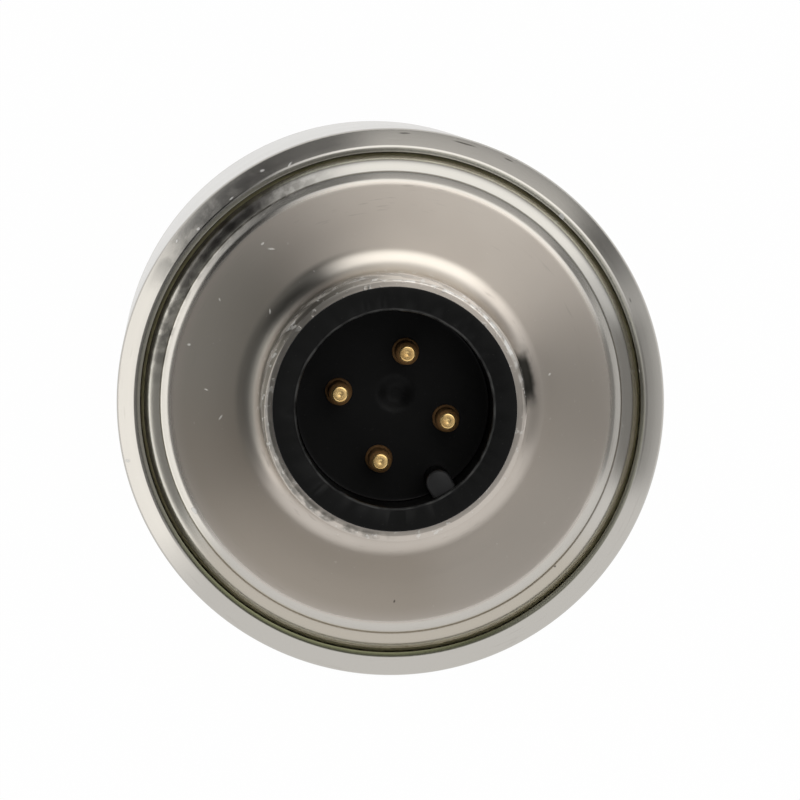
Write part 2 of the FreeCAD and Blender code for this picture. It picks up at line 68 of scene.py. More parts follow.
# ---- Shader tools ----
def operator(operation: str, reflected: bool = False) -> Callable[..., "Signal"]:
    """Makes a method that adds one Math node.

    Args:
        operation: the node's operation.
        reflected: whether the signal is the second input.

    Returns:
        The method, which takes the other input where the operation has two.
    """
    def method(self: "Signal", *other: "Number") -> "Signal":
        """Adds the node and returns its result."""
        values = (*other, self) if reflected else (self, *other)
        node = self.graph.node("Math", {"operation": operation}, dict(enumerate(values)))
        return Signal(self.graph, node.outputs[0])
    return method


@dataclass(frozen=True, eq=False)
class Signal:
    """A shader socket that is added, multiplied and compared as if it were a number."""

    graph: "Graph"
    socket: bpy.types.NodeSocket

    __add__ = operator("ADD")
    __radd__ = operator("ADD", True)
    __sub__ = operator("SUBTRACT")
    __rsub__ = operator("SUBTRACT", True)
    __mul__ = operator("MULTIPLY")
    __rmul__ = operator("MULTIPLY", True)
    __truediv__ = operator("DIVIDE")
    __pow__ = operator("POWER")
    largest = operator("MAXIMUM")
    absolute = operator("ABSOLUTE")
    bearing = operator("ARCTAN2")

    def step(self, low: float, high: float) -> "Signal":
        """A smooth step from 0 at low to 1 at high, or falling where low is above high."""
        node = self.graph.node("MapRange", {"interpolation_type": "SMOOTHSTEP"},
                               {"Value": self, "From Min": low, "From Max": high})
        return Signal(self.graph, node.outputs["Result"])


Number = Union[Signal, float]


class Graph:
    """Builds the nodes of one material or world, and holds where on the piece they are read."""

    def __init__(self, tree: bpy.types.NodeTree) -> None:
        """Empties the tree that it builds in."""
        self.tree = tree
        tree.nodes.clear()

    def node(self, kind: str, settings: Mapping[str, Any] | None = None,
             inputs: Mapping[Any, Any] | None = None) -> bpy.types.Node:
        """Adds any node, sets it up and feeds its sockets.

        Args:
            kind: the node's type name, without its ShaderNode.
            settings: properties, which are set first.
            inputs: socket name or number to a signal, a socket or a plain value.

        Returns:
            The new node.
        """
        node = self.tree.nodes.new("ShaderNode" + kind)
        for name, value in (settings or {}).items():
            setattr(node, name, value)
        for name, value in (inputs or {}).items():
            source = value.socket if isinstance(value, Signal) else value
            if isinstance(source, bpy.types.NodeSocket):
                self.tree.links.new(source, node.inputs[name])
            else:
                node.inputs[name].default_value = source
        return node

    @cached_property
    def point(self) -> bpy.types.NodeSocket:
        """The point on the piece in its own coordinates, in metres."""
        return self.node("TexCoord").outputs["Object"]

    @cached_property
    def place(self) -> tuple[Signal, Signal, Signal]:
        """The point's three parts, in metres."""
        return self.parts(self.point)

    @cached_property
    def radius(self) -> Signal:
        """The point's distance from the object's axis, in millimetres."""
        x, y, _ = self.place
        return (x * x + y * y) ** 0.5 * PER_METRE

    @cached_property
    def height(self) -> Signal:
        """The point's height, in millimetres."""
        return self.place[2] * PER_METRE

    def parts(self, vector: bpy.types.NodeSocket) -> tuple[Signal, Signal, Signal]:
        """A vector's three parts."""
        return tuple(Signal(self, part) for part in self.node("SeparateXYZ", None, {0: vector}).outputs)

    def noise(self, scale: float, detail: float = 2.0, rough: float = 0.5,
              vector: bpy.types.NodeSocket | None = None) -> Signal:
        """Solid noise.

        Args:
            scale: how many lumps there are to one unit of the vector.
            detail: its octaves.
            rough: how strong the finer octaves are.
            vector: where it is read, which is the point on the piece unless it is given.

        Returns:
            A value about 0.5.
        """
        made = self.node("TexNoise", None, {"Vector": vector or self.point, "Scale": scale,
                                            "Detail": detail, "Roughness": rough})
        return Signal(self, made.outputs[0])

    def line_noise(self, along: Signal, scale: float, detail: float) -> Signal:
        """Noise about 0.5 that changes along one value only, with scale lines to a unit of it."""
        made = self.node("TexNoise", {"noise_dimensions": "1D"},
                         {"W": along, "Scale": scale, "Detail": detail, "Roughness": 0.6})
        return Signal(self, made.outputs[0])

    def blend(self, factor: Number, first: Any, second: Colour) -> bpy.types.NodeSocket:
        """Mixes two colours.

        Args:
            factor: 0 for the first colour and 1 for the second.
            first: a colour or a colour socket.
            second: a colour.

        Returns:
            The mixed colour.
        """
        start = (*first, 1.0) if isinstance(first, tuple) else first
        mixed = self.node("Mix", {"data_type": "RGBA"}, {0: factor, 6: start, 7: (*second, 1.0)})
        return mixed.outputs[2]

    def bump(self, height: Signal, depth: float) -> bpy.types.NodeSocket:
        """Turns a height of about 0 to 1 into a normal; depth is what 1 stands for, in metres."""
        return self.node("Bump", None, {"Strength": 1.0, "Distance": depth, "Height": height}).outputs[0]

    def close(self, shader: bpy.types.Node, kind: str = "OutputMaterial") -> None:
        """Ends the graph in a shader."""
        self.node(kind, None, {"Surface": shader.outputs[0]})

    def close_body(self, **inputs: Any) -> None:
        """Ends the graph in one Principled shader; a socket's name is given with _ for its spaces."""
        named = {name.replace("_", " "): value for name, value in inputs.items()}
        self.close(self.node("BsdfPrincipled", None, named))

    def close_glow(self, share: Signal, under: bpy.types.Node, colour: Colour, strength: float) -> None:
        """Ends the graph in a glow over another shader.

        Args:
            share: how much of the glow there is.
            under: the other shader.
            colour: the glow's colour.
            strength: its strength, where 1 is as bright as a white screen.
        """
        glow = self.node("Emission", None, {"Color": (*colour, 1.0), "Strength": strength})
        self.close(self.node("MixShader", None, {0: share, 1: under.outputs[0], 2: glow.outputs[0]}))


def new_material(name: str) -> tuple[bpy.types.Material, Graph]:
    """Makes an empty node material.

    Args:
        name: its name.

    Returns:
        The material and its graph.
    """
    material = bpy.data.materials.new(name)
    material.use_nodes = True
    return material, Graph(material.node_tree)


# ---- Finishes ----
@dataclass(frozen=True)
class Mark:
    """One nick or lint fibre: its place round the axis in millimetres and degrees, size and turn."""

    radius: float
    bearing: float
    length: float
    width: float
    turn: float

    def mask(self, graph: Graph) -> Signal:
        """A soft-edged ellipse, seen along the axis.

        Args:
            graph: the material's graph.

        Returns:
            A mask that is 1 on the mark.
        """
        bearing = math.radians(self.bearing)
        middle = (self.radius * MM * math.cos(bearing), self.radius * MM * math.sin(bearing), 0.0)
        scale = (2.0 / (self.length * MM), 2.0 / (self.width * MM), 0.0)
        moved = graph.node("VectorMath", {"operation": "SUBTRACT"}, {0: graph.point, 1: middle})
        turned = graph.node("VectorRotate", {"rotation_type": "Z_AXIS"},
                            {"Vector": moved.outputs[0], "Angle": -math.radians(self.turn)})
        local = graph.node("VectorMath", {"operation": "MULTIPLY"}, {0: turned.outputs[0], 1: scale})
        away = graph.node("VectorMath", {"operation": "LENGTH"}, {0: local.outputs[0]})
        return Signal(graph, away.outputs["Value"]).step(1.15, 0.35)


@dataclass(frozen=True)
class StainOrPaintedLight:
    """A tint on a sector of a ring: some are real stains and films, most are painted highlights and painted
    shade.

    radius and width give the ring, and bearing and span the sector's middle and half its angle, in
    degrees, where a span of ALL_ROUND has no ends. core is the share of both at full strength, above
    and below are heights that bound it, and broken is the scale of the noise that breaks it up.
    """

    radius: float
    width: float
    bearing: float
    span: float
    colour: Colour
    strength: float = 0.9
    core: float = 0.45
    above: float | None = None
    below: float | None = None
    broken: float | None = None

    def mask(self, graph: Graph) -> Signal:
        """A soft-edged sector: the angle is compared by its cosine, which has no seam.

        Args:
            graph: the material's graph.

        Returns:
            A mask that is at its strength in the middle of the tint.
        """
        cover = (graph.radius - self.radius).absolute().step(self.width, self.width * self.core)
        if self.span < ALL_ROUND:
            x, y, _ = graph.place
            bearing, span = math.radians(self.bearing), math.radians(self.span)
            facing = (x * math.cos(bearing) + y * math.sin(bearing)) * PER_METRE / graph.radius
            cover = cover * facing.step(math.cos(span), math.cos(span * self.core))
        if self.above is not None:
            cover = cover * graph.height.step(self.above, self.above + 0.03)
        if self.below is not None:
            cover = cover * graph.height.step(self.below, self.below - 0.05)
        if self.broken is not None:
            cover = cover * graph.noise(self.broken, 3.0).step(0.38, 0.62)
        return cover * self.strength


@dataclass(frozen=True)
class TurnedSteel:
    """Bare stainless steel with the rings that a lathe tool leaves, short drag lines, nicks and lint, and
    with painted highlights and painted shade on ring sectors.

    The rings run round the axis: their height is line noise of radius plus a part of the height on
    the piece, ring_climb, so they lie on faces, cones and cylinders alike. Beyond the radius
    fine_from the face is smoother and its colour less warm, and inside burr_within the edges carry
    small burrs, painted pale as glints. drag_cells are the drag lines' cells to a millimetre out, a radian
    round and a metre up.
    """

    name: str
    colour: Colour = (0.570, 0.548, 0.515)
    shade: Colour = (0.535, 0.512, 0.478)
    edge: Colour = (0.560, 0.538, 0.500)
    drag_tone: Colour = (0.36, 0.33, 0.30)
    nick_tone: Colour = (0.08, 0.07, 0.06)
    lint_and_glint_tone: Colour = (0.80, 0.79, 0.76)
    roughness: float = 0.32
    fine_roughness: float = 0.20
    fine_from: float = 0.0
    burr_within: float = 0.0
    stretch: float = 0.8
    ring_depth: float = 0.00000055
    ring_scales: tuple[float, float] = (3.2, 17.0)
    ring_climb: float = 710.0
    patch_scale: float = 300.0
    dust_scale: float = 5200.0
    burr_scale: float = 3600.0
    speck_scale: float = 1400.0
    drag: float = 1.0
    drag_cells: tuple[float, float, float] = (9.0, 9.0, 6400.0)
    lint: tuple[Mark, ...] = ()
    nicks: tuple[Mark, ...] = ()
    stains_and_painted_light: tuple[StainOrPaintedLight, ...] = ()

    def material(self) -> bpy.types.Material:
        """Builds the material.

        Returns:
            The material.
        """
        material, graph = new_material(self.name)
        along = graph.radius + graph.place[2] * self.ring_climb + graph.noise(160.0, 1.0) * 0.04
        coarse_scale, fine_scale = self.ring_scales
        rings, fine = graph.line_noise(along, coarse_scale, 3.0), graph.line_noise(along, fine_scale, 2.0)
        patch = graph.noise(self.patch_scale)
        smooth = graph.radius.step(self.fine_from, self.fine_from + 0.3)
        drag = self._drag(graph) * (1.0 - smooth * 0.5)
        dust = graph.noise(self.dust_scale, 1.0).step(0.77, 0.81)
        lint = self._all(graph, self.lint).largest(dust * 0.35)
        nicks = self._all(graph, self.nicks)
        near_bore = graph.radius.step(self.burr_within, self.burr_within - 0.2)
        burrs_and_glints = graph.noise(self.burr_scale).step(0.60, 0.70) * near_bore
        tone = graph.blend(patch.step(0.3, 0.75), self.colour, self.shade)
        tone = graph.blend(smooth, tone, self.edge)
        tone = graph.blend(drag * 0.35, tone, self.drag_tone)
        # Sector tints: real stains on a few, painted highlights and painted shade on most.
        for stain_or_light in self.stains_and_painted_light:
            tone = graph.blend(stain_or_light.mask(graph), tone, stain_or_light.colour)
        tone = graph.blend(nicks * 0.85, tone, self.nick_tone)
        # Lint is pale; the burrs are painted pale too, as painted glints on the edges.
        tone = graph.blend((lint * 0.6).largest(burrs_and_glints * 0.5), tone, self.lint_and_glint_tone)
        height = rings + fine * 0.4 + lint * 4.0 - nicks * 4.0 + burrs_and_glints * 12.0 - drag * 1.5
        rough = smooth * (self.fine_roughness - self.roughness) + (self.roughness - 0.08)
        rough = rough + rings * 0.08 + patch * 0.06 + drag * 0.08 + burrs_and_glints * 0.15
        graph.close_body(Base_Color=tone, Metallic=1.0 - lint * 0.5, Roughness=rough,
                         Anisotropic=self.stretch, Anisotropic_Rotation=0.25,
                         Normal=graph.bump(height, self.ring_depth))
        return material

    def _drag(self, graph: Graph) -> Signal:
        """Short lines round the axis, where the tool dragged a chip: noise that is stretched along
        the bearing.

        Args:
            graph: the material's graph.

        Returns:
            A mask that is 1 on a line.
        """
        x, y, z = graph.place
        out, turn, up = self.drag_cells
        place = graph.node("CombineXYZ", None, {0: graph.radius * out, 1: y.bearing(x) * turn, 2: z * up})
        fine = graph.noise(1.0, 1.0, vector=place.outputs[0]).step(0.60, 0.76)
        where = graph.noise(0.16, 1.0, vector=place.outputs[0]).step(0.42, 0.66)
        return fine * where * self.drag

    def _all(self, graph: Graph, marks: Sequence[Mark]) -> Signal:
        """The masks of several marks as one, with a few specks that are scattered everywhere.

        Args:
            graph: the material's graph.
            marks: the marks.

        Returns:
            Their largest value.
        """
        total = graph.noise(self.speck_scale, 0.0).step(0.86, 0.90)
        for mark in marks:
            total = total.largest(mark.mask(graph))
        return total


@dataclass(frozen=True)
class Moulded:
    """A moulded, fired or coated body: even colour with a slight mottle, and a fine grain.

    lip and lip_height are the radius and height of a bore's lip, with a pale line of wear and painted
    highlight; lip 0 is a body without one.
    """

    name: str
    colour: Colour
    shade: Colour
    roughness: float
    grain: float = 3500.0
    grain_depth: float = 0.000003
    specular: float = 0.5
    speck: float = 0.25
    lip: float = 0.0
    lip_height: float = 0.0
    speck_tone: Colour = (0.45, 0.44, 0.42)
    lip_wear_and_highlight_tone: Colour = (0.05, 0.05, 0.048)
    key_tone: Colour = (0.016, 0.016, 0.0162)

    def material(self) -> bpy.types.Material:
        """Builds the material.

        Returns:
            The material.
        """
        material, graph = new_material(self.name)
        mottle = graph.noise(self.grain * 0.14)
        grain = graph.noise(self.grain, 2.0, 0.6)
        specks = graph.noise(self.grain * 1.7, 0.0).step(0.78, 0.84)
        tone = graph.blend(mottle.step(0.3, 0.7), self.colour, self.shade)
        tone = graph.blend(specks * self.speck, tone, self.speck_tone)
        if self.lip:
            tone = self._lip_line_and_key_top(graph, tone)
        rough = grain * 0.12 + mottle * 0.08 + (self.roughness - 0.1)
        graph.close_body(Base_Color=tone, Roughness=rough, Specular_IOR_Level=self.specular,
                         Normal=graph.bump(grain, self.grain_depth))
        return material

    def _lip_line_and_key_top(self, graph: Graph, tone: bpy.types.NodeSocket) -> bpy.types.NodeSocket:
        """Adds the pale line along the lip, broken and uneven, which is wear and a painted edge highlight,
        and a paler top on the key.

        Args:
            graph: the material's graph.
            tone: the body's colour.

        Returns:
            The colour with both.
        """
        wander = (graph.noise(700.0, 1.0) - 0.5) * 0.10
        away = (graph.radius + wander - self.lip).absolute()
        high = graph.height.step(self.lip_height, self.lip_height + 0.03)
        broken = graph.noise(1500.0).step(0.25, 0.75)
        # The pale line along the lip is wear and a painted edge highlight.
        tone = graph.blend(away.step(0.07, 0.03) * high * (broken * 0.75 + 0.1), tone, self.lip_wear_and_highlight_tone)
        inside = graph.radius.step(self.lip - 0.05, self.lip - 0.12)
        key_top = graph.height.step(self.lip_height - 0.9, self.lip_height - 0.6)
        return graph.blend(inside * key_top, tone, self.key_tone)


@dataclass(frozen=True)
class Plated:
    """Plated or tinned metal with faint rings and a little uneven tarnish, and painted shade below a height:
    darker, duller and less metallic deep in a cavity.
    """

    name: str
    colour: Colour
    shade: Colour
    roughness: float
    painted_shade_below: float = -1.0
    painted_shade_tone: Colour = (0.20, 0.105, 0.035)
    ring_depth: float = 0.0000006

    def material(self) -> bpy.types.Material:
        """Builds the material.

        Returns:
            The material.
        """
        material, graph = new_material(self.name)
        # Painted shade: below the height the metal turns dark brown, rougher and less metallic, standing in
        # for the cavity's darkness.
        deep_shade = graph.height.step(self.painted_shade_below, self.painted_shade_below - 0.1)
        tarnish = graph.noise(2600.0)
        rings = graph.line_noise(graph.height, 26.0, 1.0)
        tone = graph.blend(tarnish.step(0.35, 0.75), self.colour, self.shade)
        tone = graph.blend(deep_shade, tone, self.painted_shade_tone)
        rough = tarnish * 0.12 + deep_shade * 0.45 + (self.roughness - 0.06)
        graph.close_body(Base_Color=tone, Metallic=1.0 - deep_shade * 0.6, Roughness=rough,
                         Normal=graph.bump(rings + tarnish * 0.5, self.ring_depth))
        return material


@dataclass(frozen=True)
class Laminate:
    """Circuit board: coated laminate with paler copper tracks under the coat."""

    name: str
    colour: Colour = (0.012, 0.10, 0.035)
    track: Colour = (0.03, 0.19, 0.06)

    def material(self) -> bpy.types.Material:
        """Builds the material: a track lies where line noise passes its middle value.

        Returns:
            The material.
        """
        material, graph = new_material(self.name)
        x, y, z = graph.place
        bend = graph.noise(260.0, 0.0) * 0.0016
        lines = (graph.line_noise((x + bend) * PER_METRE, 1.3, 0.0) - 0.5).absolute()
        across = (graph.line_noise((z + y + bend) * PER_METRE, 1.1, 0.0) - 0.5).absolute()
        copper = lines.step(0.05, 0.035).largest(across.step(0.04, 0.03))
        weave = graph.noise(2600.0, 1.0)
        tone = graph.blend(copper * 0.8, self.colour, self.track)
        graph.close_body(Base_Color=tone, Roughness=weave * 0.15 + 0.22,
                         Normal=graph.bump(copper + weave * 0.2, 0.00002))
        return material


# Rings that the stains and the painted highlights and painted shade lie on, as radius and half width, and
# heights that bound them.
GLAND_LIP = (11.25, 0.22)
CROWN = (10.75, 0.36)
FACE = (8.35, 1.9)
SEAL_GROOVE = (11.45, 0.22)
FILLET_TOP = 82.5
NECK_END = 90.6
TUBE_END = 79.95


class Finish(Enum):
    """The object's finishes."""

    CAP = TurnedSteel(
        "turned_steel_cap", (0.560, 0.512, 0.460), (0.530, 0.482, 0.432), (0.530, 0.508, 0.470),
        fine_from=9.9, burr_within=6.2,
        lint=(Mark(8.87, 97.0, 0.36, 0.11, -34.0), Mark(9.57, 133.0, 0.2, 0.13, -31.0),
              Mark(7.79, 154.0, 0.34, 0.09, 23.0), Mark(8.44, 145.0, 0.22, 0.08, 130.0),
              Mark(7.35, -21.0, 0.17, 0.11, 14.0), Mark(9.3, 98.0, 0.22, 0.12, 10.0),
              Mark(6.9, 112.0, 0.3, 0.08, 60.0), Mark(9.1, 118.0, 0.2, 0.07, 80.0)),
        nicks=(Mark(9.07, 240.0, 0.18, 0.1, 41.0), Mark(10.6, 284.0, 0.14, 0.1, 0.0)),
        # Painted olive reflection all round the flange lip, painted shade at bearing 140 and a painted
        # highlight at bearing -68.
        stains_and_painted_light=(StainOrPaintedLight(*GLAND_LIP, 0.0, ALL_ROUND, (0.86, 0.86, 0.73), core=0.7),
                StainOrPaintedLight(*GLAND_LIP, 140.0, 65.0, (0.25, 0.24, 0.20)),
                StainOrPaintedLight(*GLAND_LIP, -68.0, 62.0, (0.95, 0.94, 0.79), 0.95, 0.5),
                # Painted glints on the neck's top ring at bearing 20.
                StainOrPaintedLight(5.83, 0.16, 20.0, 50.0, (0.90, 0.89, 0.86), above=NECK_END, broken=2500.0),
                StainOrPaintedLight(5.74, 0.24, 190.0, 55.0, (0.14, 0.135, 0.12), 0.8, above=NECK_END, broken=1500.0),
                # Painted shade on the neck's end, its thread and its fillet round bearing 125.
                StainOrPaintedLight(5.70, 0.40, 127.0, 80.0, (0.09, 0.085, 0.07), 0.85, below=NECK_END + 0.02),
                StainOrPaintedLight(6.66, 0.62, 125.0, 60.0, (0.16, 0.155, 0.14), below=FILLET_TOP),
                StainOrPaintedLight(5.80, 0.40, 122.0, 75.0, (0.24, 0.23, 0.21), 0.7, above=NECK_END),
                # Painted highlight on the fillet at bearing 52.
                StainOrPaintedLight(6.5, 0.65, 52.0, 38.0, (0.74, 0.69, 0.62), core=0.5, below=FILLET_TOP),
                # Painted light and shade on the crown: lighter at bearing 146, darker at 36 and at -121.
                StainOrPaintedLight(*CROWN, 146.0, 48.0, (0.68, 0.655, 0.59), core=0.7),
                StainOrPaintedLight(*CROWN, 36.0, 58.0, (0.455, 0.443, 0.415), core=0.7),
                StainOrPaintedLight(*CROWN, -121.0, 62.0, (0.478, 0.438, 0.372), core=0.7),
                # Painted shade on the face: darker at bearings 138, 205 and -55.
                StainOrPaintedLight(*FACE, 138.0, 50.0, (0.465, 0.435, 0.386), core=0.5),
                StainOrPaintedLight(*FACE, 205.0, 70.0, (0.452, 0.402, 0.345), core=0.5),
                StainOrPaintedLight(*FACE, -55.0, 60.0, (0.510, 0.466, 0.415), core=0.5),
                StainOrPaintedLight(6.2, 0.6, -20.0, 15.0, (0.05, 0.05, 0.045), 0.85, 0.4, broken=800.0),
                StainOrPaintedLight(6.2, 0.46, -20.0, 11.0, (0.03, 0.03, 0.026), 0.95, 0.5),
                StainOrPaintedLight(10.8, 0.5, 110.0, 40.0, (0.20, 0.19, 0.17), 0.7, 0.5, broken=1600.0)))
    TUBE = TurnedSteel(
        "turned_steel_tube", edge=(0.505, 0.485, 0.450), roughness=0.22, stretch=0.6,
        ring_depth=0.0000004,
        lint=(Mark(12.07, 88.0, 0.28, 0.14, -13.0), Mark(11.8, 107.0, 0.2, 0.14, 11.0),
              Mark(11.79, 97.0, 0.3, 0.08, 9.0), Mark(12.2, 112.0, 0.18, 0.1, 41.0),
              Mark(11.78, 82.0, 0.36, 0.1, 20.0)),
        nicks=(Mark(12.26, 43.0, 1.2, 0.07, 133.0), Mark(12.28, 56.0, 0.6, 0.06, 147.0),
               Mark(12.29, 33.0, 0.5, 0.06, 124.0), Mark(11.88, -8.0, 0.24, 0.06, 80.0)),
        # Painted shade all round the land beside the seal groove.
        stains_and_painted_light=(StainOrPaintedLight(*SEAL_GROOVE, 0.0, ALL_ROUND, (0.26, 0.248, 0.205), above=TUBE_END),
                StainOrPaintedLight(12.0, 0.5, 104.0, 22.0, (0.24, 0.235, 0.22), 0.7, 0.4, broken=1100.0),
                # Painted olive reflection and shade at bearing -121, a painted highlight at 20 and a painted
                # olive reflection at -62.
                StainOrPaintedLight(*SEAL_GROOVE, -121.0, 80.0, (0.150, 0.156, 0.085), above=TUBE_END),
                StainOrPaintedLight(*SEAL_GROOVE, 20.0, 50.0, (0.62, 0.60, 0.52), above=TUBE_END),
                StainOrPaintedLight(*SEAL_GROOVE, -62.0, 38.0, (0.42, 0.41, 0.33), above=TUBE_END)))
    FITTING = TurnedSteel("turned_steel_fitting", roughness=0.26, fine_roughness=0.26, stretch=0.4, drag=0.5)
    INSERT = Moulded("insert_moulded", (0.0028, 0.0029, 0.0028), (0.0021, 0.0022, 0.0021), 0.34, 5200.0,
                     0.0000016, specular=0.14, speck=0.015, lip=4.46, lip_height=91.6)
    SEAL_OLIVE = Moulded("rubber_olive", (0.42, 0.39, 0.24), (0.34, 0.31, 0.18), 0.36, 5000.0, 0.000004)
    SEAL_BLACK = Moulded("rubber_black", (0.030, 0.030, 0.028), (0.022, 0.022, 0.021), 0.55, 4500.0,
                         0.000004)
    GOLD = Plated("contact_gold", (0.86, 0.60, 0.26), (0.74, 0.47, 0.18), 0.24, painted_shade_below=89.44)
    WIRE = Plated("tinned_wire", (0.70, 0.69, 0.66), (0.58, 0.57, 0.54), 0.30)
    ALUMINA = Moulded("fired_alumina", (0.82, 0.80, 0.74), (0.76, 0.74, 0.68), 0.55)
    BOARD = Laminate("coated_laminate")
    SLEEVE = Moulded("sleeve_natural", (0.70, 0.68, 0.62), (0.64, 0.62, 0.56), 0.5)
    RESIN = Moulded("potting_resin", (0.025, 0.022, 0.020), (0.018, 0.016, 0.015), 0.28)
    CHIP = Moulded("component_black", (0.022, 0.022, 0.023), (0.016, 0.016, 0.017), 0.5)
    CAPACITOR = Moulded("capacitor_ceramic", (0.34, 0.22, 0.12), (0.28, 0.18, 0.10), 0.45)
    TANTALUM = Moulded("tantalum_epoxy", (0.60, 0.34, 0.07), (0.52, 0.29, 0.06), 0.5)

    def made(self) -> bpy.types.Material:
        """The finish's material, built once."""
        return bpy.data.materials.get(self.value.name) or self.value.material()


# ---- Surfaces ----
def soften(corners: Sequence[tuple[float, float, float]], steps: int = 5) -> Grid:
    """Rounds the corners of an open section.

    Each corner is replaced by a parabola that leaves one side at the corner's cut distance and meets
    the other at the same distance: (1-s)^2 * start + 2s(1-s) * corner + s^2 * end.

    Args:
        corners: radius, height and cut of each corner; a cut of 0 stays sharp.
        steps: spans of each rounding.

    Returns:
        Radius and height of each point, as rows.
    """
    table = np.asarray(corners, dtype=float)
    point, cut = table[:, :2], table[:, 2]
    before = np.roll(point, 1, axis=0) - point
    after = np.roll(point, -1, axis=0) - point
    before[0], after[-1] = 0.0, 0.0
    reach_in, reach_out = np.linalg.norm(before, axis=1), np.linalg.norm(after, axis=1)
    cut = np.minimum(cut, 0.48 * np.minimum(reach_in, reach_out))
    start = point + before * (cut / np.maximum(reach_in, 1e-9))[:, None]
    end = point + after * (cut / np.maximum(reach_out, 1e-9))[:, None]
    s = np.linspace(0.0, 1.0, steps + 1)[None, :, None]
    curve = (1 - s) ** 2 * start[:, None] + 2 * s * (1 - s) * point[:, None] + s ** 2 * end[:, None]
    rows = curve.reshape(-1, 2)
    keep = np.ones(len(rows), dtype=bool)
    keep[1:] = np.linalg.norm(np.diff(rows, axis=0), axis=1) > 1e-5
    return rows[keep]


def bow(start: tuple[float, float], end_radius: float, tilt_in: float, tilt_out: float,
        steps: int) -> list[tuple[float, float, float]]:
    """Corners on an arc that goes outwards and falls, its slope growing evenly.

    With b as the arc's radius, r = r0 + b(sin t - sin t0) and z = z0 - b(cos t0 - cos t).

    Args:
        start: radius and height where it starts.
        end_radius: radius where it ends.
        tilt_in: slope at its start, in degrees.
        tilt_out: slope at its end, in degrees.
        steps: its spans.

    Returns:
        Corners for soften, with no cut.
    """
    tilt = np.radians(np.linspace(tilt_in, tilt_out, steps + 1))
    bend = (end_radius - start[0]) / (np.sin(tilt[-1]) - np.sin(tilt[0]))
    radius = start[0] + bend * (np.sin(tilt) - np.sin(tilt[0]))
    height = start[1] - bend * (np.cos(tilt[0]) - np.cos(tilt))
    return [(r, z, 0.0) for r, z in zip(radius.tolist(), height.tolist())]


def dense(section: Grid, low: float, high: float, pitch: float, beyond: float = 0.0) -> Grid:
    """Puts extra rows on the stretch of a section between two heights.

    Args:
        section: radius and height rows, rising or falling through the stretch once.
        low: the stretch's lower height.
        high: its upper height.
        pitch: the distance between rows there.
        beyond: rows nearer to the axis than this stay as they are.

    Returns:
        The section with more rows.
    """
    gap = np.linalg.norm(np.diff(section, axis=0), axis=1)
    middle = (section[:-1] + section[1:]) / 2
    inside = (middle[:, 1] > low) & (middle[:, 1] < high) & (middle[:, 0] > beyond)
    spans = np.where(inside, np.ceil(gap / pitch), 1).astype(int)
    first = np.repeat(np.arange(len(gap)), spans)
    share = np.concatenate([np.arange(n) / n for n in spans])
    rows = section[first] + share[:, None] * (section[first + 1] - section[first])
    return np.vstack([rows, section[-1:]])


def around(count: int) -> Grid:
    """Even angles round the axis, in radians."""
    return np.arange(count) * (TAU / count)


def wave(angle: Grid, seed: int, lowest: int, highest: int) -> Grid:
    """Closed irregular wave round the axis: sum of cosines with random sizes and phases.

    Args:
        angle: where it is read, in radians.
        seed: picks the wave.
        lowest: fewest waves to a turn.
        highest: one more than the most waves to a turn.

    Returns:
        Values of about unit size.
    """
    draw = np.random.default_rng(seed)
    turns = np.arange(lowest, highest)
    size = draw.normal(size=turns.size) / np.sqrt(turns)
    phase = draw.uniform(0, TAU, turns.size)
    total = (size * np.cos(turns * angle[..., None] + phase)).sum(axis=-1)
    return total / np.sqrt((size ** 2).sum() / 2)


def tooth(phase: Grid, crest: float, root: float) -> Grid:
    """Depth of a thread form by turns along it: 0 on the crest, 1 in the root, straight flanks between."""
    away = np.abs((phase % 1.0) - 0.5) * 2.0
    return 1.0 - np.clip((away - root) / (1.0 - crest - root), 0.0, 1.0)


def rise(value: Grid, low: float, high: float) -> Grid:
    """Smooth step of an array from 0 at low to 1 at high."""
    share = np.clip((value - low) / (high - low), 0.0, 1.0)
    return share * share * (3.0 - 2.0 * share)


@dataclass
class Skin:
    """A grid of points that is closed round the axis, in millimetres.

    Rows run along the section, with the solid on their left as the section is drawn, and columns run
    round the axis against the clock. loop joins the last row to the first.
    """

    points: Grid
    loop: bool = True

    @classmethod
    def turned(cls, section: Grid, columns: int, loop: bool = True) -> "Skin":
        """Spins a section of radius and height rows on even columns."""
        return cls.wrapped(section[:, :1], section[:, 1:], around(columns), loop)

    @classmethod
    def wrapped(cls, radius: Grid, height: Grid, angle: Grid, loop: bool = True) -> "Skin":
        """Lays rows round the axis: x = r cos(angle), y = r sin(angle), z = height.

        Args:
            radius: radii by row, and by column where they differ round the axis.
            height: heights in the same way.
            angle: column angles in radians.
            loop: whether the last row joins the first.

        Returns:
            The skin.
        """
        r, z, turn = np.broadcast_arrays(radius, height, angle)
        return cls(np.stack([r * np.cos(turn), r * np.sin(turn), z], axis=-1), loop)

    def faces(self) -> tuple[Grid, Grid]:
        """The grid's faces.

        Returns:
            The vertices left once rows on the axis are joined to a point, and the four corners of
            each face, with a repeated corner where it has three.
        """
        rows, columns = self.points.shape[:2]
        index = np.arange(rows * columns).reshape(rows, columns)
        on_axis = np.ptp(self.points, axis=1).max(axis=1) < 1e-9
        index[on_axis] = index[on_axis][:, :1]
        if self.loop:
            index = np.vstack([index, index[:1]])
        side = np.roll(index, -1, axis=1)
        quads = np.stack([index[:-1], side[:-1], side[1:], index[1:]], axis=-1).reshape(-1, 4)
        used, small = np.unique(quads, return_inverse=True)
        return self.points.reshape(-1, 3)[used], small.reshape(-1, 4)


def add_object(name: str, data: bpy.types.ID) -> bpy.types.Object:
    """Puts a mesh or a camera into the scene.

    Args:
        name: the object's name.
        data: the mesh or the camera.

    Returns:
        The object.
    """
    made = bpy.data.objects.new(name, data)
    bpy.context.scene.collection.objects.link(made)
    return made


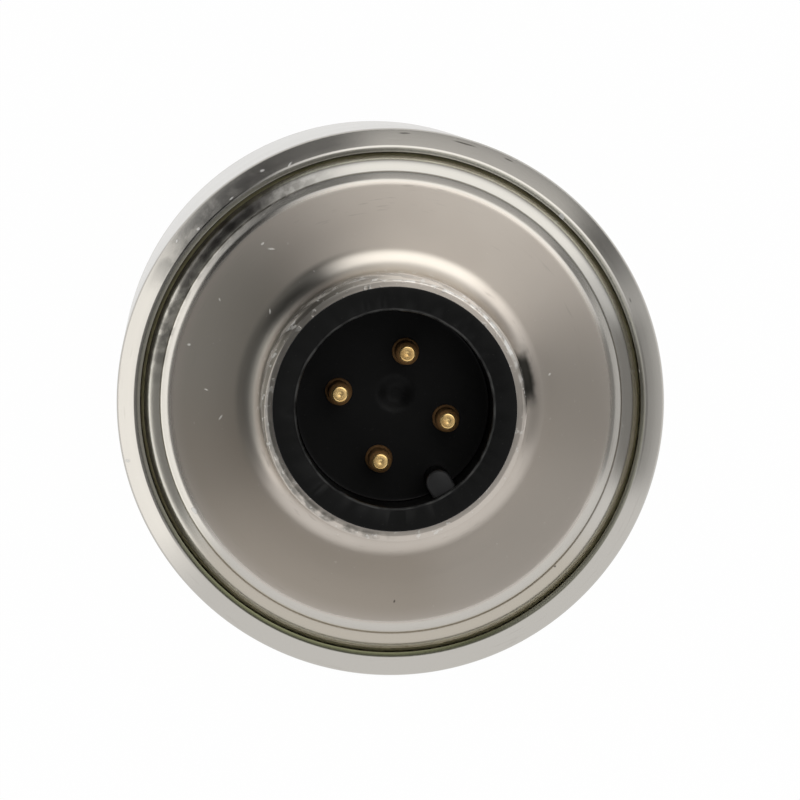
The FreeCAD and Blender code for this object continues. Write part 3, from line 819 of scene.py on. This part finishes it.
def make_piece(name: str, skins: Sequence[Skin], finish: Finish, nodes: Sequence[str] = (),
               sharp: float = 33.0) -> bpy.types.Object:
    """Puts skins into one mesh piece that rides on the body.

    Args:
        name: the piece's name.
        skins: its surfaces.
        finish: its finish.
        nodes: CAD nodes that it stands for.
        sharp: edges that turn more than this many degrees stay sharp.

    Returns:
        The finished object.
    """
    points, corners, total, base = [], [], [], 0
    for skin in skins:
        vertices, quads = skin.faces()
        repeated = quads == np.roll(quads, -1, axis=1)
        good = repeated.sum(axis=1) < 2
        quads, repeated = quads[good], repeated[good]
        points.append(vertices * MM)
        corners.append(quads[~repeated] + base)
        total.append(4 - repeated.sum(axis=1))
        base += len(vertices)
    points, corners, total = np.vstack(points), np.concatenate(corners), np.concatenate(total)
    mesh = bpy.data.meshes.new(name)
    mesh.vertices.add(len(points))
    mesh.vertices.foreach_set("co", points.ravel())
    mesh.loops.add(len(corners))
    mesh.loops.foreach_set("vertex_index", corners.astype(np.int32))
    mesh.polygons.add(len(total))
    mesh.polygons.foreach_set("loop_start", np.concatenate([[0], np.cumsum(total)[:-1]]).astype(np.int32))
    mesh.update(calc_edges=True)
    mesh.validate()
    mesh.shade_smooth()
    mesh.set_sharp_from_angle(angle=math.radians(sharp))
    mesh.materials.append(finish.made())
    piece = add_object(name, mesh)
    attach(piece, "root")
    if nodes:
        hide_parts(*nodes)
    LOG.info("%s: %d vertices, %d faces", name, len(points), len(total))
    return piece


def heights(node: str) -> tuple[float, float]:
    """Heights of a CAD node's foot and top, in millimetres."""
    low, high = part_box(node)
    return low[2] / MM, high[2] / MM


# ---- Housing ----
@dataclass
class HousingTube:
    """Tube with a conical rim, and the counterbore that holds the cap."""

    radius: float = 12.5
    bore: float = 11.05
    counterbore: float = 11.42
    counterbore_depth: float = 3.75
    crest: float = 11.69
    cone: float = 40.0
    turned_lip: float = 0.13
    lip_rise: float = 0.008
    weld_chamfer: float = 0.16
    columns: int = 300

    def build(self) -> None:
        """Builds the tube's skin."""
        foot, top = heights("housing_tube")
        cone_foot = top - (self.radius - self.crest) * math.tan(math.radians(self.cone))
        section = soften([
            (self.bore, foot, 0.0), (self.radius - self.weld_chamfer, foot, 0.02),
            (self.radius, foot + self.weld_chamfer, 0.06), (self.radius, cone_foot, 0.12),
            (self.crest, top, 0.09), (self.crest - self.turned_lip, top + self.lip_rise, 0.06),
            (self.counterbore, top - self.lip_rise / 2, 0.015),
            (self.counterbore, top - self.counterbore_depth, 0.0),
            (self.bore, top - self.counterbore_depth, 0.0)])
        make_piece("housing_tube_turned", [Skin.turned(section, self.columns)],
                   Finish.TUBE, ["housing_tube"])


@dataclass
class WeldBead:
    """Scalloped bead that fills the groove between the tube and the fitting."""

    radius: float = 12.36
    half_width: float = 0.17
    height: float = 0.11
    ripples: int = 150
    ripple_depth: float = 0.22
    ripple_bow: float = 0.35
    sunk: float = 0.02
    root: float = 12.06
    columns: int = 900

    def build(self) -> None:
        """Builds the bead: a half ellipse across, whose height dips where two scallops meet."""
        middle, _ = heights("housing_tube")
        angle = around(self.columns)
        across = np.linspace(0.0, math.pi, 13)[:, None]
        bowed = 0.5 * self.ripples * angle + self.ripple_bow * np.sin(across)
        scallop = 1.0 - self.ripple_depth * np.abs(np.sin(bowed))
        radius = self.radius - self.sunk + self.height * np.sin(across) * scallop
        height = middle - self.half_width * np.cos(across)
        inner = np.full_like(radius[:1], self.root)
        radius = np.vstack([inner, radius, inner])
        height = np.vstack([height[:1], height, height[-1:]])
        make_piece("weld_bead", [Skin.wrapped(radius, height, angle)], Finish.FITTING)


# ---- Cap with the plug's neck ----
@dataclass
class ConnectorCap:
    """Turned cap: crowned flange, raised face and the neck with its M12 thread."""

    neck: float = 5.95
    bore: float = 5.0
    chamfer: float = 0.22
    fillet: float = 1.08
    plain: float = 0.6
    face: float = 9.895
    face_round: float = 0.52
    face_bevel: float = 43.0
    flange_inner: float = 10.52
    groove_depth: float = 0.045
    groove_inner: float = 10.49
    groove_outer: float = 10.555
    flange: float = 11.09
    lip: float = 11.26
    lip_drop: float = 0.11
    flange_edge: float = 0.2
    gland: float = 10.3
    gland_width: float = 1.45
    seat: float = 11.34
    skirt: float = 10.95
    skirt_bore: float = 9.2
    face_below_top: float = 10.45
    shoulder_below_face: float = 4.25
    floor_below_face: float = 5.25
    pitch: float = 1.0
    thread_depth: float = 0.58
    thread_crest: float = 0.15
    thread_root: float = 0.12
    thread_row: float = 0.05
    columns: int = 300

    def section(self, top: float, skirt_end: float) -> Grid:
        """The cap's half section.

        Args:
            top: height of the neck's metal end.
            skirt_end: height of the skirt's lower end.

        Returns:
            Radius and height rows, from the cap's floor round its outside.
        """
        face = top - self.face_below_top
        fillet = bow((self.neck, face + self.fillet), self.neck + self.fillet, 90.0, 0.0, 14)
        reach = self.face_round * math.sin(math.radians(self.face_bevel))
        edge = bow((self.face, face), self.face + reach, 0.0, self.face_bevel, 6)
        fall = (self.flange_inner - edge[-1][0]) * math.tan(math.radians(self.face_bevel))
        crown = bow((self.flange_inner, edge[-1][1] - fall), self.flange, 10.0, 40.0, 10)
        gland_top = crown[-1][1] - self.flange_edge
        shoulder = face - self.shoulder_below_face
        corners = [
            (self.bore, face - self.floor_below_face, 0.0), (self.bore, top, 0.0),
            (self.neck - self.chamfer, top, 0.04), (self.neck, top - self.chamfer, 0.04), *fillet,
            *edge, (self.groove_inner, crown[0][1] + 0.025, 0.005),
            (self.flange_inner, crown[0][1] - self.groove_depth, 0.01),
            (self.groove_outer, crown[0][1] - 0.008, 0.01), *crown[1:-1],
            (self.flange, crown[-1][1], 0.06), (self.lip, crown[-1][1] - self.lip_drop, 0.04),
            (self.lip, gland_top, 0.02), (self.gland, gland_top, 0.0),
            (self.gland, gland_top - self.gland_width, 0.0),
            (self.seat, gland_top - self.gland_width, 0.0), (self.seat, shoulder, 0.0),
            (self.skirt, shoulder, 0.0), (self.skirt, skirt_end, 0.1),
            (self.skirt_bore, skirt_end, 0.1), (self.skirt_bore, face - self.floor_below_face, 0.0)]
        return soften(corners)

    def build(self) -> None:
        """Builds the cap: the thread is cut as a helix, its phase being height/pitch minus turns."""
        foot, top = heights("connector_cap")
        section = self.section(top, foot)
        face = top - self.face_below_top
        low, plain_end = face + self.fillet, face + self.fillet + self.plain
        in_bore = self.bore + 0.2
        section = dense(section, low, top, self.thread_row, in_bore)
        angle = around(self.columns)
        r, z = section[:, :1], section[:, 1:]
        run_in = rise(z, plain_end, plain_end + 0.6)
        run_out = 1.0 - 0.55 * rise(z, top - 0.55, top - 0.1)
        turns = tooth(z / self.pitch - angle / TAU, self.thread_crest, self.thread_root)
        depth = self.thread_depth * turns * (run_in * run_out)
        radius = np.where((z > low) & (r > in_bore), np.minimum(r, self.neck - depth), r)
        make_piece("connector_cap_turned", [Skin.wrapped(radius, z, angle)],
                   Finish.CAP, ["connector_cap"])


@dataclass
class CapSeal:
    """Olive O-ring in the open groove round the cap."""

    ring: float = 10.86
    cord: float = 0.548
    swell: float = 0.006
    columns: int = 300

    def build(self) -> None:
        """Builds the ring: a circle carried round the axis, swelling and sagging a little."""
        low, high = heights("cap_o_ring")
        angle = around(self.columns)
        turn = np.linspace(-math.pi, math.pi, 41)[:-1, None]
        ring = self.ring + self.swell * wave(angle, 11, 2, 9)
        radius = np.minimum(ring + self.cord * np.cos(turn), self.ring + self.cord)
        height = (low + high) / 2 + self.cord * np.sin(turn)
        make_piece("cap_o_ring_moulded", [Skin.wrapped(radius, height, angle)], Finish.SEAL_OLIVE,
                   ["cap_o_ring"])


# ---- Plug insert ----
@dataclass
class ContactCarrier:
    """Black moulded insert with its cavity, dimple and coding key."""

    flange: float = 5.48
    flange_height: float = 0.8
    body: float = 4.95
    cavity: float = 4.4
    cavity_depth: float = 7.4
    key_width: float = 1.15
    key_reach: float = 1.1
    key_setback: float = 0.5
    key_inset: tuple[float, ...] = (0.0, 0.0, 0.03, 0.10, 0.14)
    key_drop: tuple[float, ...] = (0.13, 0.06, 0.012, 0.0, 0.0)
    flash: float = 0.018
    flash_dip: float = 0.02
    dimple: float = 0.85
    dimple_depth: float = 0.13
    dimple_shift: float = 0.55
    floor_rows: int = 60
    columns: int = 240

    def build(self) -> None:
        """Builds the insert's body and its key as one piece."""
        make_piece("contact_carrier_moulded", [self._shell(), self._key()], Finish.INSERT,
                   ["contact_carrier"])

    def _shell(self) -> Skin:
        """The turned body, with an uneven flash line round the cavity's mouth.

        Returns:
            Its skin.
        """
        back, front = heights("contact_carrier")
        floor = front - self.cavity_depth
        section = soften([
            (0.0, back, 0.0), (self.body, back, 0.1), (self.body, front - self.flange_height, 0.0),
            (self.flange, front - self.flange_height, 0.03), (self.flange, front - 0.02, 0.06),
            (self.cavity + 0.14, front - 0.02, 0.03), (self.cavity + 0.05, front, 0.02),
            (self.cavity, front - 0.1, 0.04), (self.cavity, floor, 0.1), (0.0, floor, 0.0)])
        across = np.linspace(section[-2, 0], 0.0, self.floor_rows)[1:]
        section = np.vstack([section[:-1], np.column_stack([across, np.full_like(across, floor)])])
        angle = around(self.columns)
        r, z = section[:, :1], section[:, 1:]
        off_mouth = rise(np.abs(r - self.cavity - 0.05), 0.08, 0.16)
        near_mouth = rise(z, front - 0.25, front) * (1.0 - off_mouth)
        radius = r + near_mouth * self.flash * wave(angle, 5, 3, 60)
        height = z - near_mouth * self.flash_dip * np.abs(wave(angle, 6, 3, 50))
        centre = self.dimple_shift * math.sqrt(0.5)
        away = np.hypot(radius * np.cos(angle) - centre, radius * np.sin(angle) - centre)
        pit = self.dimple_depth * (1.0 - rise(away, 0.2, self.dimple + 0.1))
        on_floor = (np.abs(z - floor) < 0.01) & (r < self.cavity - 0.2)
        height = np.where(on_floor, height - pit, height)
        return Skin.wrapped(radius, height, angle, False)

    def _key(self) -> Skin:
        """The key: a round-ended bar whose outline shrinks inwards over its bevelled top.

        Returns:
            Its skin.
        """
        _, front = heights("contact_carrier")
        half = self.key_width / 2
        nose, root = -(self.cavity - self.key_reach + half), -(self.cavity + 0.15)
        floor, top = front - self.cavity_depth - 0.1, front - self.key_setback
        inset = np.array([*self.key_inset, half - 0.02])[:, None]
        rows = np.array([floor, *(top - drop for drop in self.key_drop)])[:, None]
        turn = np.concatenate([np.linspace(0.0, math.pi, 13), np.linspace(math.pi, TAU, 13)])
        middle = np.where(np.arange(26) < 13, nose, root)
        x = (half - inset) * np.cos(turn)
        y = middle + (half - inset) * np.sin(turn)
        points = np.stack([x, y, np.broadcast_to(rows, x.shape)], axis=-1)
        cap = points[-1:].copy()
        cap[..., 0] = 0.0
        cap[..., 1] = np.clip(cap[..., 1], root, nose)
        base = points[:1].copy()
        base[..., 0] *= 0.02
        return Skin(np.concatenate([base, points, cap]), False)


@dataclass
class ContactPin:
    """Gold-plated pin with a bevelled, slightly dimpled tip and a collar."""

    number: int
    tip: float = 0.34
    bevel: float = 0.3
    shaft: float = 0.5
    collar: float = 0.62
    collar_top: float = 4.95
    carrier_back: float = 11.1
    tail: float = 0.4
    columns: int = 64

    def build(self) -> None:
        """Builds the pin about its own axis and moves its points to its place."""
        node = f"contact_pin_{self.number}"
        low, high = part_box(node)
        top, bottom = high[2] / MM, low[2] / MM
        section = soften([
            (0.0, bottom, 0.0), (self.tail, bottom, 0.08),
            (self.tail, top - self.carrier_back, 0.05),
            (self.collar, top - self.carrier_back, 0.05),
            (self.collar, top - self.collar_top, 0.07), (self.shaft, top - self.collar_top, 0.03),
            (self.shaft, top - self.bevel, 0.10), (self.tip, top, 0.07), (0.12, top, 0.05),
            (0.0, top - 0.02, 0.0)])
        skin = Skin.turned(section, self.columns, False)
        skin.points[..., 0] += (low[0] + high[0]) / 2 / MM
        skin.points[..., 1] += (low[1] + high[1]) / 2 / MM
        make_piece(f"{node}_plated", [skin], Finish.GOLD, [node])


# ---- Process fitting ----
@dataclass
class ProcessFitting:
    """Stud with its pipe thread, sealing collar, hexagon, weld land and barrel."""

    port: float = 2.5
    port_chamfer: float = 0.4
    stud: float = 6.5785
    stud_chamfer: float = 1.0
    neck: float = 5.6985
    neck_low: float = 10.4
    recess: float = 8.2985
    recess_top: float = 13.1
    seal_face: float = 12.0
    collar: float = 9.4485
    hexagon_low: float = 14.0
    hexagon_high: float = 23.0
    flats: float = 22.0
    corner: float = 12.4
    land: float = 12.5
    land_top: float = 25.0
    barrel: float = 11.0
    ring_bore: float = 9.8
    cell_back: float = 33.35
    cell_bore: float = 9.1
    cell_seat: float = 27.0
    groove: tuple[float, float, float] = (7.2, 5.8, 1.1)
    chamber: float = 4.0
    chamber_low: float = 25.4
    pitch: float = 1.337
    thread_depth: float = 0.856
    thread_round: float = 0.05
    thread_start: float = 0.3
    thread_run_in: float = 0.8
    thread_row: float = 0.06
    hexagon_bevel: float = 30.0
    hexagon_edge: float = 0.06
    land_edge: float = 0.08
    weld_chamfer: float = 0.16

    def angles(self) -> Grid:
        """Column angles that meet each flat's two ends: even on a flat, and fewer round a corner.

        Returns:
            The angles in radians.
        """
        end = math.acos(self.flats / 2 / self.corner)
        side = np.concatenate([np.linspace(-end, end, 41), np.linspace(end, TAU / 6 - end, 8)[1:-1]])
        return (side[None, :] + (TAU / 12 + np.arange(6)[:, None] * TAU / 6)).ravel()

    def outline(self, angle: Grid) -> Grid:
        """The hexagon's radius: half the flats over the cosine from a flat's middle, within its corners."""
        off = (angle % (TAU / 6)) - TAU / 12
        return np.minimum(self.flats / 2 / np.cos(off), self.corner)

    def build(self) -> None:
        """Builds the fitting: rows of the section, with the hexagon's rows following its outline."""
        _, top = heights("process_fitting")
        angle = self.angles()
        corners = [
            (self.port, self.chamber_low, 0.0), (self.port, self.port_chamfer, 0.05),
            (self.port + self.port_chamfer, 0.0, 0.05), (self.stud - self.stud_chamfer, 0.0, 0.06),
            (self.stud, self.stud_chamfer, 0.06),
            (self.stud, self.neck_low - self.stud + self.neck, 0.06),
            (self.neck, self.neck_low, 0.12), (self.neck, self.recess_top, 0.1),
            (self.recess, self.recess_top, 0.1), (self.recess, self.seal_face, 0.06),
            (self.collar, self.seal_face, 0.12), (self.collar, self.hexagon_low, 0.12)]
        below = dense(soften(corners), self.stud_chamfer * 0.5, self.neck_low, self.thread_row)
        flat_end = (self.collar + self.flats / 2) / 2
        hex_radius = self.outline(angle)
        slope = math.tan(math.radians(self.hexagon_bevel))
        share = np.linspace(0.0, 1.0, 9)[:, None]
        bevel_r = flat_end + share * (hex_radius - 0.05 - flat_end)
        bevel_z = self.hexagon_low + (bevel_r - flat_end) * slope
        edge_z = bevel_z[-1:] + self.hexagon_edge
        wall_r = np.vstack([hex_radius, hex_radius, hex_radius - self.hexagon_edge])
        wall_z = np.vstack([edge_z, np.full_like(edge_z, self.hexagon_high - 0.05),
                            np.full_like(edge_z, self.hexagon_high)])
        after = soften([
            (self.land - self.land_edge, self.hexagon_high, 0.0),
            (self.land, self.hexagon_high + self.land_edge, 0.03),
            (self.land, self.land_top - self.weld_chamfer, 0.05),
            (self.land - self.weld_chamfer, self.land_top, 0.02), (self.barrel, self.land_top, 0.0),
            (self.barrel, top, 0.1), (self.ring_bore, top, 0.1),
            (self.ring_bore, self.cell_back, 0.0), (self.cell_bore, self.cell_back, 0.0),
            (self.cell_bore, self.cell_seat, 0.0), (self.groove[0], self.cell_seat, 0.0),
            (self.groove[0], self.cell_seat - self.groove[2], 0.0),
            (self.groove[1], self.cell_seat - self.groove[2], 0.0),
            (self.groove[1], self.cell_seat, 0.0), (self.chamber, self.cell_seat, 0.0),
            (self.chamber, self.chamber_low, 0.0)], 4)
        wide = np.ones_like(angle)
        radius = np.vstack([self._threaded(below, angle), bevel_r, wall_r, after[:, :1] * wide])
        height = np.vstack([below[:, 1:] * wide, bevel_z, wall_z, after[:, 1:] * wide])
        make_piece("process_fitting_turned", [Skin.wrapped(radius, height, angle)], Finish.FITTING,
                   ["process_fitting"], 25.0)

    def _threaded(self, section: Grid, angle: Grid) -> Grid:
        """Radii of the lower part with the stud's helical thread cut in.

        Args:
            section: radius and height rows.
            angle: column angles.

        Returns:
            Radii by row and column.
        """
        r, z = section[:, :1], section[:, 1:]
        low, high = self.thread_start, self.neck_low - self.stud + self.neck
        phase = z / self.pitch - angle / TAU
        soft = 0.5 - 0.5 * np.cos(math.pi * tooth(phase, self.thread_round, self.thread_round))
        fade = rise(z, low, low + self.thread_run_in)
        cut = np.minimum(r, self.stud - self.thread_depth * soft * fade)
        on_stud = (r > self.neck) & (z < high + 0.3) & (z > low)
        return np.where(on_stud, np.maximum(cut, self.neck * 0.995), r)


@dataclass
class ProcessSeal:
    """Profile seal ring under the collar."""

    inner: float = 5.7085
    outer: float = 8.2885
    lip: float = 0.35
    columns: int = 200

    def build(self) -> None:
        """Builds the ring with a soft double lip."""
        low, high = heights("process_seal_ring")
        middle = (self.inner + self.outer) / 2
        section = soften([
            (self.inner, high, 0.0), (self.inner, low, 0.12), (middle - 0.25, low, 0.12),
            (middle, low + 0.16, 0.12), (middle + 0.25, low, 0.12),
            (self.outer - self.lip, low, 0.12), (self.outer, low + self.lip, 0.12),
            (self.outer, high, 0.0)])
        make_piece("process_seal_moulded", [Skin.turned(section, self.columns)],
                   Finish.SEAL_BLACK, ["process_seal_ring"])


# ---- Pieces inside the housing ----
@dataclass
class Inside:
    """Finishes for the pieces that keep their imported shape."""

    finishes: dict[Finish, tuple[str, ...]] = field(default_factory=lambda: {
        Finish.SEAL_BLACK: ("cell_seal",),
        Finish.ALUMINA: ("cell_diaphragm", "cell_body"),
        Finish.FITTING: ("cell_clamp_ring",),
        Finish.WIRE: ("cell_lead_pins", "pin_solder"),
        Finish.RESIN: ("carrier_potting",),
        Finish.BOARD: ("connector_board", "cell_board", "main_board"),
        Finish.SLEEVE: ("insulating_sleeve",),
        Finish.CHIP: ("signal_chip", "output_chip", "chip_resistors", "surge_diodes"),
        Finish.CAPACITOR: ("ceramic_capacitors",),
        Finish.TANTALUM: ("tantalum_capacitor",)})

    def build(self) -> None:
        """Gives each node its finish."""
        for finish, names in self.finishes.items():
            for name in names:
                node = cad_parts[name]
                node.data.materials.clear()
                node.data.materials.append(finish.made())
                LOG.info("%s: %s", name, finish.value.name)


# ---- Studio ----
@dataclass(frozen=True)
class Panel:
    """A curved card round the object: a softbox where it is bright, a flag where it is dark.

    azimuth is counted from +X towards +Y and low and high from the horizon up, all in degrees. A
    panel with a smaller reach stands in front of one with a larger reach.
    """

    name: str
    azimuth: float
    half_width: float
    low: float
    high: float
    level: float
    reach: float
    soft: float = 0.2
    spans: int = 16

    def build(self, centre: float) -> None:
        """Builds the card with edges that fade out.

        Args:
            centre: height of the point that it faces, in metres.
        """
        u, v = np.meshgrid(np.linspace(0.0, 1.0, self.spans + 1), np.linspace(0.0, 1.0, self.spans + 1))
        azimuth = np.radians(self.azimuth + (2.0 * u - 1.0) * self.half_width)
        elevation = np.radians(self.low + v * (self.high - self.low))
        points = self.reach * np.stack([np.cos(elevation) * np.cos(azimuth),
                                        np.cos(elevation) * np.sin(azimuth), np.sin(elevation)], axis=-1)
        points[..., 2] += centre
        index = np.arange(u.size).reshape(u.shape)
        quads = np.stack([index[:-1, :-1], index[1:, :-1], index[1:, 1:], index[:-1, 1:]], axis=-1)
        quads = quads.reshape(-1, 4)
        mesh = bpy.data.meshes.new(self.name)
        mesh.from_pydata(points.reshape(-1, 3).tolist(), [], quads.tolist())
        layer = mesh.uv_layers.new(name="spread")
        layer.data.foreach_set("uv", np.stack([u, v], axis=-1).reshape(-1, 2)[quads].ravel())
        mesh.materials.append(self._material())
        card = add_object(self.name, mesh)
        card.visible_camera = card.visible_diffuse = False

    def _material(self) -> bpy.types.Material:
        """Even glow that fades to nothing at the card's edges.

        Returns:
            The material.
        """
        material, graph = new_material(self.name)
        u, v, _ = graph.parts(graph.node("UVMap", {"uv_map": "spread"}).outputs[0])
        mask = u.step(0.0, self.soft) * u.step(1.0, 1.0 - self.soft)
        mask = mask * v.step(0.0, self.soft) * v.step(1.0, 1.0 - self.soft)
        graph.close_glow(mask, graph.node("BsdfTransparent"), (1.0, 0.99, 0.97), self.level)
        material.cycles.emission_sampling = "NONE"
        return material


@dataclass
class Studio:
    """White surroundings and floor, the cards that shape the reflections, and the camera."""

    roll: float = 31.0
    panels: tuple[Panel, ...] = (
        Panel("overhead_flag", 150.0, 180.0, 74.0, 90.0, 0.05, 1.9),
        Panel("left_low_softbox", 150.0, 46.0, -4.0, 24.0, 1.7, 1.8),
        Panel("left_flag", 148.0, 46.0, 20.0, 88.0, 0.24, 1.7),
        Panel("front_flag", -32.0, 24.0, -4.0, 88.0, 0.3, 1.6),
        Panel("right_low_flag", 46.0, 68.0, -4.0, 22.0, 0.1, 1.5),
        Panel("right_low_card", 38.0, 34.0, 3.0, 20.0, 0.75, 1.45),
        Panel("key_softbox", 37.0, 45.0, 17.0, 90.0, 1.75, 1.4),
        Panel("back_flag", 103.0, 24.0, -4.0, 90.0, 0.02, 1.3, 0.35),
    )
    tilt: float = 1.8146
    tilt_azimuth: float = 90.33
    distance: float = 593.3
    aim: tuple[float, float] = (0.426, 0.097)
    focal: float = 585.435
    floor_half: float = 2.5
    floor_glow: float = 0.97

    def build(self) -> None:
        """Builds the surroundings, the cards, the floor and the camera."""
        self._world()
        self._floor()
        for panel in self.panels:
            panel.build(heights("housing_tube")[1] * MM)
        self._camera()
        bpy.context.scene.view_settings.view_transform = "Standard"

    def _world(self) -> None:
        """The surroundings: plain white at strength 1 for every ray."""
        world = bpy.data.worlds.new("studio")
        world.use_nodes = True
        bpy.context.scene.world = world
        world.cycles.sampling_method = "NONE"
        graph = Graph(world.node_tree)
        white = graph.node("Background", None, {"Color": (*WHITE, 1.0), "Strength": 1.0})
        graph.close(white, "OutputWorld")

    def _floor(self) -> None:
        """A wide pale floor that shows as white but for the object's shadow."""
        half = self.floor_half
        mesh = bpy.data.meshes.new("floor")
        mesh.from_pydata([(-half, -half, 0), (half, -half, 0), (half, half, 0), (-half, half, 0)], [],
                         [(0, 1, 2, 3)])
        material, graph = new_material("floor_pale")
        grain = graph.noise(900.0)
        tone = graph.blend(grain, (0.90, 0.90, 0.895), (0.93, 0.93, 0.925))
        matt = graph.node("BsdfPrincipled", None, {"Base Color": tone, "Roughness": grain * 0.1 + 0.7})
        path = graph.node("LightPath").outputs
        camera, glossy, through = (Signal(graph, path[f"Is {ray} Ray"])
                                   for ray in ("Camera", "Glossy", "Transmission"))
        graph.close_glow((camera + glossy + through) * self.floor_glow, matt, WHITE, 1.0)
        material.cycles.emission_sampling = "NONE"
        mesh.materials.append(material)
        floor = add_object("floor", mesh)

    def _camera(self) -> None:
        """A long lens above the plug, leaning a little off the axis and rolled."""
        roll = math.radians(-self.roll)
        right = np.array([math.cos(roll), math.sin(roll), 0.0])
        up = np.array([-math.sin(roll), math.cos(roll), 0.0])
        rim = np.array([0.0, 0.0, heights("housing_tube")[1]])
        aim = rim + self.aim[0] * right + self.aim[1] * up
        lean, towards = math.radians(self.tilt), math.radians(self.tilt_azimuth)
        back = np.array([math.sin(lean) * math.cos(towards), math.sin(lean) * math.sin(towards),
                         math.cos(lean)])
        side = np.cross(up, back)
        side /= np.linalg.norm(side)
        top = np.cross(back, side)
        matrix = np.eye(4)
        matrix[:3, 0], matrix[:3, 1], matrix[:3, 2] = side, top, back
        matrix[:3, 3] = (aim + self.distance * back) * MM
        data = bpy.data.cameras.new("camera")
        data.lens, data.sensor_width, data.clip_start, data.clip_end = self.focal, 36.0, 0.01, 20.0
        camera = add_object("camera", data)
        camera.matrix_world = matrix.T.tolist()
        bpy.context.scene.camera = camera


def main() -> None:
    """Builds every piece, dresses what stays, and sets up the studio."""
    logging.basicConfig(level=logging.INFO, format="%(name)s: %(message)s")
    pins = (ContactPin(number) for number in (1, 2, 3, 4))
    for part in (HousingTube(), WeldBead(), ConnectorCap(), CapSeal(), ContactCarrier(), *pins,
                 ProcessFitting(), ProcessSeal(), Inside(), Studio()):
        part.build()


if __name__ == "__main__":
    main()
